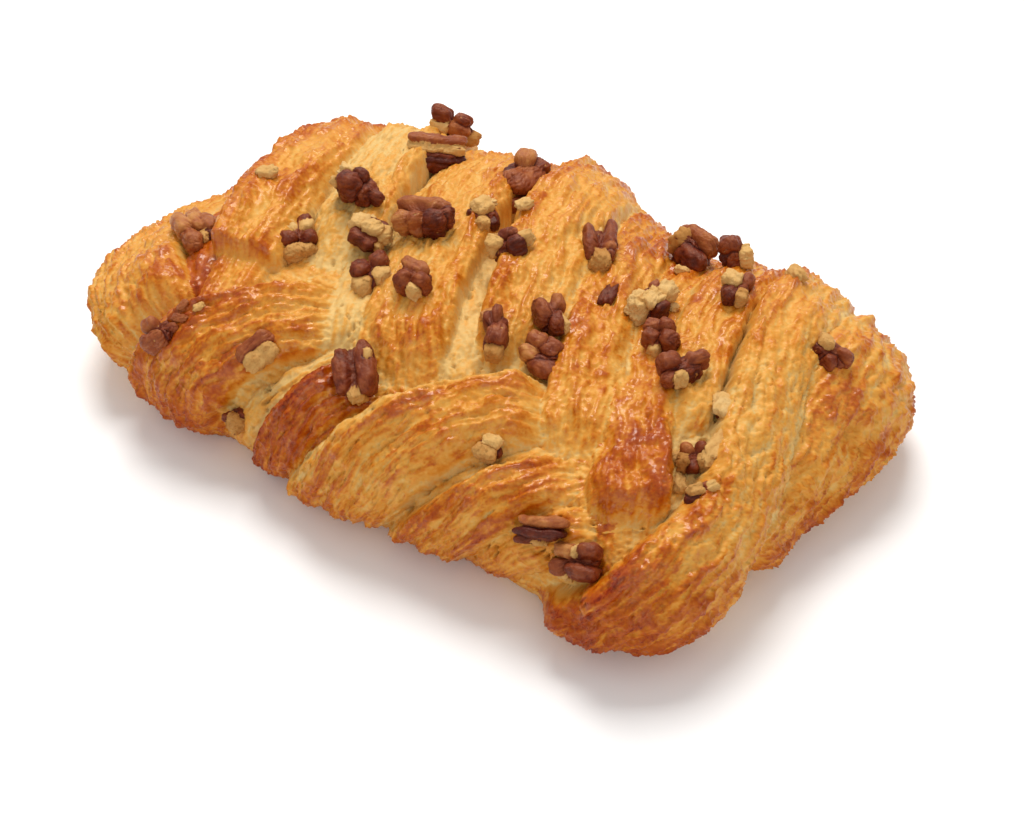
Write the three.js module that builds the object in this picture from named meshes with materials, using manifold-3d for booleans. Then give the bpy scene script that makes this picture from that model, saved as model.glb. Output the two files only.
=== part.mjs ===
// Pecan pastry: a plaited oblong of laminated dough with pecan pieces baked
// into its top. Millimetres, +Z up, +X along the plait, -Y the long front
// side. The origin is on the table under the middle of the piece.
//
// The dough is one solid: a low crowned core with strips laid over it. Every
// strip is a crowned ribbon that follows the core's surface, starts at the
// table line, climbs the side and ends on the top under or beside the strip
// that crosses it. Strips are laid out on the core's surface as if it were
// rolled out flat: (X, Y) is measured from the middle of the top, and a point
// past the top's edge lies down the side.
import * as THREE from 'three';
import { mergeVertices } from 'three/addons/utils/BufferGeometryUtils.js';
import Module from 'manifold-3d';

const wasm = await Module();
wasm.setup();

// ---------------------------------------------------------------- sizes (mm)
const CORE_RIGHT = 65.4;      // core's half length to the right
const CORE_LEFT = 71;         // and to the left
const CORE_HALF_WIDTH = 39.5;
const CORE_HEIGHT = 27;       // crown of the core, under the strips
const CORE_SHIFT = [-1.5, 1.5];
const BULGE_HEIGHT = 9;       // the side is widest this far above the table
const UNDERCUT = 4;           // and pulls in this much below that
const CROWN_POWER = 2.4;      // how square the core's section is
const CORNER_POWER = { leftFront: 5.0, leftBack: 2.35, rightFront: 7.0, rightBack: 5.8 };
const LEFT_SKEW = 0.0026;     // the left end slants back from its front corner
const LEFT_SKEW_FROM = -12;
const LEFT_FRONT_SPREAD = 0.085; // and the front side spreads towards the left
const LEFT_DROP = 0.55;       // the left end is lower by this share
const LEFT_DROP_FROM = -44;
const EDGE_DROP = 0.2;        // a strip's edge dips just into the core
const RIBBON_ROOT = 3;        // how far a ribbon's underside goes into the core
const TIP_ROUND = 5;          // length over which a strip's end rounds off
const PECAN_GAP = 0.34;       // clearance round a pecan piece in its pocket

// strip: path over the rolled-out surface, then width, crown height and lift,
// each from its start at the table to its end, and how much the left edge is
// raised over the right one
const STRIPS = [
  { name: 'end_left', path: [[-80, 19], [-73, 5], [-70.5, -8], [-63.5, -28], [-49, -42]], width: [10, 20, 25, 24, 26], crown: [0.5, 2.5, 4.8, 6, 6], lift: [0, 0, 0, 0, 0], tilt: 0 },
  { name: 'back_1', path: [[-61, 60], [-52, 20], [-39, -21]], width: [16, 15, 13], crown: [4, 7.5, 4], lift: [0, 1.5, 2.5], tilt: -2 },
  { name: 'back_2', path: [[-48, 62], [-39, 20], [-24, -15]], width: [18, 18, 14], crown: [5, 7, 4], lift: [0, 1.5, 0], tilt: 0.9 },
  { name: 'back_3', path: [[-30, 62], [-19, 18], [-8, -10], [3, -31]], width: [24, 20, 18, 18], crown: [5, 6, 5, 4], lift: [0, 1, 1, 1], tilt: 1.5 },
  { name: 'back_4', path: [[-7, 62], [3, 20], [19, -18]], width: [22, 18, 16], crown: [7, 8, 4], lift: [1, 2.5, 0], tilt: -1.4 },
  { name: 'back_5', path: [[9, 62], [17, 20], [38, -27]], width: [16, 13, 13], crown: [4, 5, 4], lift: [0, 0, 0], tilt: -1 },
  { name: 'back_6', path: [[24, 62], [29, 12], [42, -14], [53, -31]], width: [14, 13, 13, 14], crown: [4, 4, 4, 5], lift: [0, -2, -1, 1], tilt: 1.1 },
  { name: 'back_7', path: [[37, 62], [37, 20], [50, -15]], width: [15, 13, 9], crown: [5, 6, 4], lift: [0, 1, 0], tilt: 1.1 },
  { name: 'end_right', path: [[59, 62], [62.5, 24], [68, 0], [70.5, -22]], width: [27, 28, 21, 14], crown: [8, 7.5, 4, 4], lift: [0.5, 0.5, 0, 0], tilt: 1.2 },
  { name: 'corner', path: [[49, 62], [49, 28], [55, 6], [62, -10], [65.5, -23], [67, -37.5], [64, -49.5], [50, -56]], width: [15, 15, 14, 14, 16, 23, 25, 16], crown: [6, 7, 7, 6.5, 6, 7, 6.5, 5.5], lift: [1, 2, 1, 0, 0, 0, 0, 0], tilt: -1 },
  { name: 'front_1', path: [[-51, -60], [-33, -37], [-12, -19]], width: [24, 17, 13], crown: [3.5, 7, 4], lift: [0, 0, 0], tilt: 1 },
  { name: 'front_2', path: [[-18, -60], [-9, -42], [-2, -30]], width: [17, 13, 10], crown: [3.5, 6, 4], lift: [0, 0, 0], tilt: 1.5 },
  { name: 'front_4', path: [[19, -60], [31, -40], [42, -27]], width: [20, 12, 9], crown: [5, 5.5, 4], lift: [0, 0, 0], tilt: 1.2 },
  { name: 'front_3', path: [[-3, -60], [13, -37], [32, -19]], width: [27, 16, 13], crown: [6.5, 7.5, 5], lift: [0, 1, 1], tilt: 1.6 },
];
// low webs of pale dough between strips
const WEBS = [
  { name: 'web_0', path: [[-60, 6], [-53, -12], [-40, -30]], width: [14, 14, 10], crown: [2, 2.5, 2], lift: [0, 0, 0] },
  { name: 'web_1', path: [[-30, -58], [-17, -40], [-7, -27]], width: [8, 7, 7], crown: [2, 2, 2], lift: [0, 0, 0] },
  { name: 'web_2', path: [[-7, 6], [4, -11], [14, -26]], width: [8, 8, 7], crown: [2, 2, 2], lift: [0, 0, 0] },
  { name: 'web_3', path: [[10, -58], [25, -38], [36, -26]], width: [9, 6, 6], crown: [4, 2.5, 2], lift: [0, 0, 0] },
  { name: 'web_4', path: [[40, 26], [50, 0], [59, -20]], width: [9, 10, 9], crown: [2, 2, 1.5], lift: [0, 0, 0] },
  { name: 'web_5', path: [[-18, -12], [-14, -20], [-9, -28]], width: [10, 12, 8], crown: [2, 3, 2], lift: [0, 0, 0] },
  { name: 'web_6', path: [[34, -58], [43, -40], [50, -34]], width: [12, 12, 8], crown: [1.5, 2, 2], lift: [0, 0, 0] },
];

// pecan piece: where its middle is, which way and how far its own upright
// leans (degrees, the first from +X), the heading of its length, its length,
// width and height, and its kind: half (long, grooved), lobed (two lobes) or
// chunk (broken off, with a blunt end)
const PECANS = [
  { at: [-55.7, -18.3, 24.5], lean: [-168, 12], heading: 155, size: [11.5, 7.7, 7.0], kind: 'chunk' },
  { at: [-41.8, -42.0, 22.1], lean: [-122, 44], heading: 42, size: [8.3, 6.3, 6.0], kind: 'lobed' },
  { at: [-36.0, -11.2, 27.8], lean: [-41, 10], heading: 147, size: [8.5, 7.5, 6.0], kind: 'lobed' },
  { at: [-32.4, 1.3, 34.7], lean: [-105, 4], heading: 174, size: [11.8, 7.4, 7.5], kind: 'chunk' },
  { at: [-23.7, -5.5, 31.9], lean: [-23, 8], heading: 15, size: [8.1, 7.2, 5.5], kind: 'chunk' },
  { at: [-15.9, 1.2, 34.5], lean: [-151, 7], heading: 20, size: [11.3, 6.6, 6.5], kind: 'half' },
  { at: [-17.5, -12.2, 29.7], lean: [-149, 9], heading: 68, size: [8.3, 8.2, 5.5], kind: 'chunk' },
  { at: [-7.8, -12.2, 33.3], lean: [-112, 6], heading: 174, size: [8.3, 7.2, 5.5], kind: 'lobed' },
  { at: [-31.2, 21.9, 30.7], lean: [42, 15], heading: 51, size: [12.1, 5.9, 7.0], kind: 'half' },
  { at: [-36.7, 34.1, 28.5], lean: [73, 22], heading: 26, size: [11.2, 4.0, 6.5], kind: 'half' },
  { at: [-13.2, 26.2, 31.7], lean: [50, 13], heading: 93, size: [11.5, 8.6, 7.5], kind: 'chunk' },
  { at: [-10.5, 21.2, 27.9], lean: [52, 8], heading: 49, size: [7.7, 4.0, 5.5], kind: 'chunk' },
  { at: [-8.8, 9.8, 33.2], lean: [22, 13], heading: 167, size: [6.4, 5.8, 5.0], kind: 'chunk' },
  { at: [0.9, 4.3, 34.7], lean: [-149, 18], heading: 38, size: [9.0, 6.2, 6.0], kind: 'chunk' },
  { at: [11.7, 17.0, 31.7], lean: [31, 11], heading: 126, size: [11.5, 6.5, 6.0], kind: 'half' },
  { at: [22.1, 32.1, 26.9], lean: [88, 15], heading: 163, size: [9.8, 7.3, 8.0], kind: 'half' },
  { at: [31.4, 31.2, 30.6], lean: [135, 15], heading: 135, size: [5.4, 6.0, 7.0], kind: 'lobed' },
  { at: [38.5, 20.4, 33.2], lean: [53, 3], heading: 105, size: [7.4, 5.3, 5.0], kind: 'chunk' },
  { at: [26.9, 11.8, 29.8], lean: [50, 5], heading: 83, size: [10.0, 7.6, 7.0], kind: 'chunk' },
  { at: [33.9, 4.1, 30.5], lean: [-155, 4], heading: 3, size: [7.4, 6.6, 6.5], kind: 'lobed' },
  { at: [42.4, -1.8, 31.8], lean: [-88, 4], heading: 63, size: [9.6, 6.1, 6.0], kind: 'lobed' },
  { at: [-4.9, -31.1, 26.4], lean: [-85, 23], heading: 130, size: [11.7, 7.6, 6.0], kind: 'half' },
  { at: [-23.4, -35.9, 23.9], lean: [-61, 49], heading: 84, size: [7.8, 5.7, 4.5], kind: 'chunk' },
  { at: [-24.7, -41.3, 11.2], lean: [-102, 69], heading: 160, size: [5.1, 4.8, 4.5], kind: 'chunk' },
  { at: [12.3, -14.1, 32.1], lean: [-92, 13], heading: 112, size: [10.0, 5.1, 5.5], kind: 'chunk' },
  { at: [17.2, -5.1, 32.7], lean: [-20, 8], heading: 151, size: [7.6, 6.5, 6.5], kind: 'lobed' },
  { at: [20.6, -11.5, 30.2], lean: [-81, 9], heading: 178, size: [7.7, 7.5, 6.0], kind: 'lobed' },
  { at: [24.6, -31.4, 25.3], lean: [-75, 19], heading: 99, size: [4.7, 4.3, 4.0], kind: 'chunk' },
  { at: [39.4, -36.5, 19.2], lean: [-84, 48], heading: 32, size: [9.9, 4.9, 5.5], kind: 'half' },
  { at: [46.7, -36.4, 16.7], lean: [-89, 47], heading: 19, size: [9.2, 6.8, 6.5], kind: 'half' },
  { at: [58.0, 21.6, 27.4], lean: [6, 17], heading: 11, size: [7.0, 6.2, 5.5], kind: 'lobed' },
  { at: [52.7, -12.7, 25.4], lean: [-54, 7], heading: 38, size: [5.6, 5.5, 5.0], kind: 'chunk' },
  { at: [51.1, -0.7, 27.8], lean: [-99, 7], heading: 33, size: [5.4, 4.1, 4.0], kind: 'chunk' },
  { at: [57.9, -18.6, 25.5], lean: [-73, 4], heading: 56, size: [5.9, 4.0, 4.5], kind: 'chunk' },
];

// -------------------------------------------------- the core's own surface
const smooth = (x) => { const t = Math.min(1, Math.max(0, x)); return t * t * (3 - 2 * t); };
const profile = (() => {
  const inset = [], height = [], run = [0];
  for (let i = 0; i < 60; i++) {                       // the pulled-in foot
    const z = -8 + (BULGE_HEIGHT + 8) * i / 60;
    inset.push(UNDERCUT * ((BULGE_HEIGHT - z) / BULGE_HEIGHT) ** 2); height.push(z);
  }
  for (let i = 0; i <= 300; i++) {                     // side, shoulder, crown
    const a = Math.PI / 2 * i / 300;
    inset.push(CORE_HALF_WIDTH * (1 - Math.abs(Math.cos(a)) ** (2 / CROWN_POWER)));
    height.push(BULGE_HEIGHT + (CORE_HEIGHT - BULGE_HEIGHT) * Math.sin(a) ** (2 / CROWN_POWER));
  }
  for (let i = 1; i < inset.length; i++) run.push(run[i - 1] + Math.hypot(inset[i] - inset[i - 1], height[i] - height[i - 1]));
  let k = 0; while (height[k + 1] < 0) k++;
  const zero = run[k] + (run[k + 1] - run[k]) * (0 - height[k]) / (height[k + 1] - height[k]);
  return { inset, height, run: run.map((r) => r - zero) };
})();
const REACH = profile.run[profile.run.length - 1];     // table line to ridge
function alongProfile(q) {
  const { run, inset, height } = profile;
  let lo = 0, hi = run.length - 1;
  while (hi - lo > 1) { const m = (lo + hi) >> 1; if (run[m] <= q) lo = m; else hi = m; }
  const t = Math.min(1, Math.max(0, (q - run[lo]) / (run[hi] - run[lo])));
  return [inset[lo] + (inset[hi] - inset[lo]) * t, height[lo] + (height[hi] - height[lo]) * t];
}
const halfLength = (X) => (X < 0 ? CORE_LEFT : CORE_RIGHT);
function cornerPower(X, Y) {                           // how square the plan's corners are
  const r = smooth((X + 30) / 60), b = smooth((Y + 20) / 40), c = CORNER_POWER;
  return (c.leftFront * (1 - b) + c.leftBack * b) * (1 - r) + (c.rightFront * (1 - b) + c.rightBack * b) * r;
}
function distanceUp(X, Y) {                            // from the table line, along the surface
  const A = halfLength(X) - CORE_HALF_WIDTH, p = cornerPower(X, Y);
  let lo = profile.run[0], hi = REACH - 1e-3;
  for (let i = 0; i < 36; i++) {
    const m = (lo + hi) / 2;
    const v = (Math.abs(X) / Math.max(A + REACH - m, 1e-4)) ** p + (Math.abs(Y) / Math.max(REACH - m, 1e-4)) ** p;
    if (v < 1) lo = m; else hi = m;
  }
  return lo;
}
function coreAt(X, Y) {
  const q = distanceUp(X, Y), H = halfLength(X), A = H - CORE_HALF_WIDTH;
  let [inset, z] = alongProfile(q);
  let x = X / (A + REACH - q) * (H - inset);
  let y = Y / (REACH - q) * (CORE_HALF_WIDTH - inset);
  if (y < 0) y *= 1 + LEFT_FRONT_SPREAD * smooth((10 - x) / 45);
  x *= 1 - LEFT_SKEW * Math.max(0, y - LEFT_SKEW_FROM) * smooth((-x - 15) / 50);
  const drop = 1 - LEFT_DROP * smooth((LEFT_DROP_FROM - x) / (CORE_LEFT + LEFT_DROP_FROM));
  if (z > BULGE_HEIGHT) z = BULGE_HEIGHT + (z - BULGE_HEIGHT) * drop;
  return new THREE.Vector3(x + CORE_SHIFT[0], y + CORE_SHIFT[1], z);
}
function normalAt(X, Y) {
  const e = 0.05;
  const dx = coreAt(X + e, Y).sub(coreAt(X - e, Y)), dy = coreAt(X, Y + e).sub(coreAt(X, Y - e));
  return dx.cross(dy).normalize();
}
const surfaceAt = (X, Y, h) => coreAt(X, Y).addScaledVector(normalAt(X, Y), h);

// --------------------------------------------------------- solids from forms
function solidOf(geometry) {
  const g = geometry.clone();
  for (const a of ['normal', 'uv', 'uv1']) g.deleteAttribute(a);
  const m = mergeVertices(g, 1e-4);
  return new wasm.Manifold(new wasm.Mesh({
    numProp: 3,
    vertProperties: new Float32Array(m.attributes.position.array),
    triVerts: new Uint32Array(m.index.array),
  }));
}
function geometryOf(solid) {
  const m = solid.getMesh();
  const g = new THREE.BufferGeometry();
  const p = new Float32Array(m.numVert * 3);
  for (let i = 0; i < m.numVert; i++) for (let k = 0; k < 3; k++) p[3 * i + k] = m.vertProperties[i * m.numProp + k];
  g.setAttribute('position', new THREE.BufferAttribute(p, 3));
  g.setIndex(new THREE.BufferAttribute(new Uint32Array(m.triVerts), 1));
  return g;
}
function reshape(geometry, move) {
  const p = geometry.attributes.position, v = new THREE.Vector3();
  for (let i = 0; i < p.count; i++) { v.fromBufferAttribute(p, i); const w = move(v); p.setXYZ(i, w.x, w.y, w.z); }
  return geometry;
}

// the core: rings of a sphere moved onto the core's surface, with a flat foot
function coreSolid(around = 36, rings = 10) {
  const A = 0.5 * (CORE_LEFT + CORE_RIGHT) - CORE_HALF_WIDTH + REACH;
  return solidOf(reshape(new THREE.SphereGeometry(1, around, rings), (d) => {
    const row = Math.round(Math.acos(THREE.MathUtils.clamp(d.y, -1, 1)) / Math.PI * rings);
    if (row === rings) return new THREE.Vector3(CORE_SHIFT[0], CORE_SHIFT[1], 0);
    if (row === 0) return coreAt(0, 0);
    const q = REACH * (1 - (row / (rings - 1)) ** 0.85);
    const turn = Math.atan2(-d.z, d.x), c = Math.cos(turn), s = Math.sin(turn);
    let lo = 0, hi = 2;                                // out along the ray to the ring at q
    for (let i = 0; i < 40; i++) {
      const r = (lo + hi) / 2;
      if (distanceUp(r * A * c, r * REACH * s) > q) lo = r; else hi = r;
    }
    const w = coreAt(lo * A * c, lo * REACH * s);
    if (row === rings - 1) w.z = 0;
    return w;
  }));
}

// a strip: a box of cells bent along its path, crowned, and closed below
// the size at u along a strip, from a list with one entry per path point, or
// with evenly spaced entries when the counts differ
function mix(list, u, knots) {
  const n = list.length, k = n === knots.length ? knots : list.map((_, i) => i / (n - 1));
  let i = 0; while (i < n - 2 && u > k[i + 1]) i++;
  return list[i] + (list[i + 1] - list[i]) * THREE.MathUtils.clamp((u - k[i]) / (k[i + 1] - k[i]), 0, 1);
}
function stripCurve(strip) {
  return new THREE.CatmullRomCurve3(strip.path.map(([x, y]) => new THREE.Vector3(x, y, 0)), false, 'centripetal');
}
function stripSolid(strip, along, across) {
  const curve = stripCurve(strip), length = curve.getLength();
  const centre = curve.getSpacedPoints(200), lengths = curve.getLengths(200 * (strip.path.length - 1));
  const knots = strip.path.map((_, i) => lengths[200 * i] / lengths[lengths.length - 1]);
  const tip = Math.min(TIP_ROUND, length * 0.2) / length;
  return solidOf(reshape(new THREE.BoxGeometry(1, 1, 1, along, across, 1), (b) => {
    // cells gather towards the rounded end and the edges
    const s = b.x + 0.5, u = s < 0.8 ? s / 0.8 * (1 - tip) : (1 - tip) + tip * Math.sin((s - 0.8) / 0.2 * Math.PI / 2);
    const v = Math.sin(b.y * Math.PI) * 0.999;
    const k = Math.min(198, Math.floor(u * 199)), f = u * 199 - k;
    const c = centre[k].clone().lerp(centre[k + 1], f);
    const a = centre[Math.max(0, k - 2)], z = centre[Math.min(199, k + 3)];
    const t = z.clone().sub(a).normalize();
    const e = THREE.MathUtils.clamp((u - (1 - tip)) / tip, 0, 1);
    const cap = (1 - e ** 2.6) ** (1 / 2.2);
    const half = mix(strip.width, u, knots) / 2 * (0.35 + 0.65 * cap ** 0.8);
    const X = c.x - t.y * v * half, Y = c.y + t.x * v * half;
    if (b.z < 0) return surfaceAt(X, Y, -RIBBON_ROOT);
    const crown = (1 - Math.abs(v) ** 2.8) ** (1 / 1.8);
    const tuck = 0.35 + 0.65 * smooth(distanceUp(X, Y) / 10);
    const roll = (strip.tilt ?? 0) * v * crown ** 0.5;   // one edge lies on top, the other under
    const h = (mix(strip.crown, u, knots) * crown + mix(strip.lift, u, knots) * crown ** 0.3 + roll) * cap * tuck - EDGE_DROP;
    return surfaceAt(X, Y, h);
  }));
}

// a pecan piece about its own middle; grow widens it for its pocket
function pecanSolid(pecan, index, grow) {
  const [length, width, height] = pecan.size;
  const a = length / 2 + grow, b = width / 2 + grow, c = height / 2 + grow;
  const shape = new THREE.SphereGeometry(1, 8, 5);
  shape.rotateZ(Math.PI / 2);                          // poles at the ends
  const phase = index * 2.4;
  reshape(shape, (d) => {
    let x = d.x * a, y = d.y * b, z = d.z * c;
    const along = d.x, side = Math.atan2(d.z, d.y);
    if (pecan.kind === 'half') {                       // tapered ends, groove along the top
      const plump = 1 - 0.22 * along * along;
      y *= plump; z *= plump;
      if (d.z > 0) z -= 0.20 * c * Math.exp(-((d.y / 0.28) ** 2));
      else z *= 0.8;
    } else if (pecan.kind === 'lobed') {               // a waist between two lobes
      const waist = 1 - 0.26 * Math.exp(-((along / 0.34) ** 2));
      y *= waist; z *= waist;
      x *= 1 - 0.05 * Math.sin(2 * side + phase);
    } else {                                           // broken: uneven, one flat face
      const bump = 1 + 0.10 * Math.sin(3 * side + phase) + 0.08 * Math.sin(2.5 * along + phase);
      y *= bump; z *= bump;
      x = Math.min(x, a * (0.72 + 0.10 * Math.sin(phase)));
    }
    return new THREE.Vector3(x, y, z);
  });
  const rad = THREE.MathUtils.degToRad, [way, lean] = pecan.lean.map(rad), turn = rad(pecan.heading);
  const up = new THREE.Vector3(Math.sin(lean) * Math.cos(way), Math.sin(lean) * Math.sin(way), Math.cos(lean));
  const ahead = new THREE.Vector3(Math.cos(turn), Math.sin(turn), 0);
  ahead.addScaledVector(up, -ahead.dot(up)).normalize();
  const frame = new THREE.Matrix4().makeBasis(ahead, up.clone().cross(ahead), up);
  frame.setPosition(...pecan.at);
  shape.applyMatrix4(frame);
  return solidOf(shape);
}

// ------------------------------------------------------------- the assembly
let dough = coreSolid();
for (const strip of STRIPS) dough = dough.add(stripSolid(strip, strip.path.length > 4 ? 17 : 11, 5));
for (const web of WEBS) dough = dough.add(stripSolid(web, 8, 3));
const below = new THREE.BoxGeometry(300, 200, 40); below.translate(0, 0, -20);
dough = dough.subtract(solidOf(below));

const pecans = PECANS.map((p, i) => pecanSolid(p, i, 0));
const pockets = PECANS.map((p, i) => pecanSolid(p, i, PECAN_GAP));
for (let i = 0; i < pecans.length; i++) {
  dough = dough.subtract(pockets[i]);
  for (let j = 0; j < i; j++) {                        // neighbours keep the same gap
    if (!pecans[i].intersect(pockets[j]).isEmpty()) pecans[i] = pecans[i].subtract(pockets[j]);
  }
}

const pastry = new THREE.Group();
const crust = new THREE.Mesh(geometryOf(dough), new THREE.MeshStandardMaterial({ color: 0xc98436, roughness: 0.42, metalness: 0 }));
crust.name = 'pastry';
pastry.add(crust);
const nutBrown = [0x6f3a22, 0x7d4628, 0x5f2f1c, 0x8a5630];
pecans.forEach((solid, i) => {
  const mesh = new THREE.Mesh(geometryOf(solid), new THREE.MeshStandardMaterial({ color: nutBrown[i % 4], roughness: 0.5, metalness: 0 }));
  mesh.name = `pecan_${String(i + 1).padStart(2, '0')}`;
  pastry.add(mesh);
});

// the middle of the base goes to the origin
const extent = new THREE.Box3().setFromObject(pastry);
const middle = extent.getCenter(new THREE.Vector3());
for (const mesh of pastry.children) mesh.position.set(-middle.x, -middle.y, 0);

export default pastry;
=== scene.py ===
import math
import bpy
import numpy as np
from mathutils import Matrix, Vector


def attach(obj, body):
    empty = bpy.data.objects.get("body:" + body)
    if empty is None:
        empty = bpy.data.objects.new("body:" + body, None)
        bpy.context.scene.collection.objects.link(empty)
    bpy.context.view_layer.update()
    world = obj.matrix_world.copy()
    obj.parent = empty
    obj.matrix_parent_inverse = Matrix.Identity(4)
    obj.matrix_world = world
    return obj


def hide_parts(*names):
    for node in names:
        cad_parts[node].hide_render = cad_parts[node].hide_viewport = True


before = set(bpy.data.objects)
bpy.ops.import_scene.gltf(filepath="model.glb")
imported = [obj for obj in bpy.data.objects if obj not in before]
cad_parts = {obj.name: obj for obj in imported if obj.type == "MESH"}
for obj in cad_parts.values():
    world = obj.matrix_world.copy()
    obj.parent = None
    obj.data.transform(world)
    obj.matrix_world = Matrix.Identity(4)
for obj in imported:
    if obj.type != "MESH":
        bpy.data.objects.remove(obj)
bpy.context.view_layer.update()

STEP = 0.27          # mm between points of the fine surface
SHIFT = np.array([3.131, -1.555, 0.0])  # the model's middle goes over the origin

# ------------------------------------------------------------------ sizes, mm
CORE_RIGHT, CORE_LEFT, CORE_HALF_WIDTH, CORE_HEIGHT = 65.4, 71.0, 39.5, 27.0
CORE_SHIFT = (-1.5, 1.5)
BULGE_HEIGHT, UNDERCUT, CROWN_POWER = 9.0, 4.0, 2.4
CORNER = dict(lf=5.0, lb=2.35, rf=7.0, rb=5.8)
LEFT_SKEW, LEFT_SKEW_FROM, LEFT_FRONT_SPREAD = 0.0026, -12.0, 0.085
LEFT_DROP, LEFT_DROP_FROM = 0.55, -44.0
EDGE_DROP, TIP_ROUND = 0.2, 5.0

# strip: path on the rolled-out surface, width, crown, lift, then the bake from
# its start to its end (0 pale cream, 0.35 yellow, 0.6 orange, 0.85 brown)
STRIPS = [
  ('end_left', [(-80, 19), (-73, 5), (-70.5, -8), (-63.5, -28), (-49, -42)], (10, 20, 25, 24, 26), (0.5, 2.5, 4.8, 6, 6), (0, 0, 0, 0, 0), (.46, .42, .34, .34, .44)),
  ('back_1', [(-61, 60), (-52, 20), (-39, -21)], (16, 15, 13), (4, 7.5, 4), (0, 1.5, 2.5), (.52, .46, .36)),
  ('back_2', [(-48, 62), (-39, 20), (-24, -15)], (18, 18, 14), (5, 7, 4), (0, 1.5, 0), (.30, .08, .18)),
  ('back_3', [(-30, 62), (-19, 18), (-8, -10), (3, -31)], (24, 20, 18, 18), (5, 6, 5, 4), (0, 1, 1, 1), (.38, .32, .26, .36)),
  ('back_4', [(-7, 62), (3, 20), (19, -18)], (22, 18, 16), (7, 8, 4), (1, 2.5, 0), (.46, .30, .34)),
  ('back_5', [(9, 62), (17, 20), (38, -27)], (16, 13, 13), (4, 5, 4), (0, 0, 0), (.48, .44, .38)),
  ('back_6', [(24, 62), (29, 12), (42, -14), (53, -31)], (14, 13, 13, 14), (4, 4, 4, 5), (0, -2, -1, 1), (.55, .44, .56, .58)),
  ('back_7', [(37, 62), (37, 20), (50, -15)], (15, 13, 9), (5, 6, 4), (0, 1, 0), (.50, .46, .28)),
  ('end_right', [(59, 62), (62.5, 24), (68, 0), (70.5, -22)], (27, 28, 21, 14), (8, 7.5, 4, 4), (0.5, 0.5, 0, 0), (.38, .36, .54, .26)),
  ('corner', [(49, 62), (49, 28), (55, 6), (62, -10), (65.5, -23), (67, -37.5), (64, -49.5), (50, -56)], (15, 15, 14, 14, 16, 23, 25, 16), (6, 7, 7, 6.5, 6, 7, 6.5, 5.5), (1, 2, 1, 0, 0, 0, 0, 0), (.42, .36, .26, .24, .36, .58, .60, .36)),
  ('front_1', [(-51, -60), (-33, -37), (-12, -19)], (24, 17, 13), (3.5, 7, 4), (0, 0, 0), (.60, .60, .24)),
  ('front_2', [(-18, -60), (-9, -42), (-2, -30)], (17, 13, 10), (3.5, 6, 4), (0, 0, 0), (.60, .66, .74)),
  ('front_4', [(19, -60), (31, -40), (42, -27)], (20, 12, 9), (5, 5.5, 4), (0, 0, 0), (.54, .50, .38)),
  ('front_3', [(-3, -60), (13, -37), (32, -19)], (27, 16, 13), (6.5, 7.5, 5), (0, 1, 1), (.46, .38, .42)),
]
WEBS = [
  ('web_0', [(-60, 6), (-53, -12), (-40, -30)], (14, 14, 10), (2, 2.5, 2), (0, 0, 0), (.50, .86, .80)),
  ('web_1', [(-30, -58), (-17, -40), (-7, -27)], (8, 7, 7), (2, 2, 2), (0, 0, 0), (.30, .14, .10)),
  ('web_2', [(-7, 6), (4, -11), (14, -26)], (8, 8, 7), (2, 2, 2), (0, 0, 0), (.16, .12, .20)),
  ('web_3', [(10, -58), (25, -38), (36, -26)], (9, 6, 6), (4, 2.5, 2), (0, 0, 0), (.50, .32, .24)),
  ('web_4', [(40, 26), (50, 0), (59, -20)], (9, 10, 9), (2, 2, 1.5), (0, 0, 0), (.22, .02, .02)),
  ('web_5', [(-18, -12), (-14, -20), (-9, -28)], (10, 12, 8), (2, 3, 2), (0, 0, 0), (.10, .08, .12)),
  ('web_6', [(34, -58), (43, -40), (50, -34)], (12, 12, 8), (1.5, 2, 2), (0, 0, 0), (.5, .42, .34)),
]
# how a strip lies: the rise of its left side over its right (mm), how long its
# end takes to sink, and how pale its left and right edges stay
LIE = {'back_1': (-2, 2.2, 0.14, 0.05), 'back_2': (0.9, 12, 0.12, 0.12), 'back_3': (1.5, 13, 0.06, 0.2), 'back_4': (-1.4, 12, 0.16, 0.06),
       'back_5': (-1, 9, 0.16, 0.06), 'back_6': (1.1, 6, 0.12, 0.16), 'back_7': (1.1, 10, 0.06, 0.16), 'end_left': (0, 8, 0, 0),
       'end_right': (1.2, 9, 0.18, 0.1), 'corner': (-1, 7, 0.18, 0.03), 'front_1': (1, 12, 0.18, 0.05), 'front_2': (1.5, 5, 0.06, 0.24),
       'front_3': (1.6, 9, 0.42, 0.16), 'front_4': (1.2, 9, 0.24, 0.12)}
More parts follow.
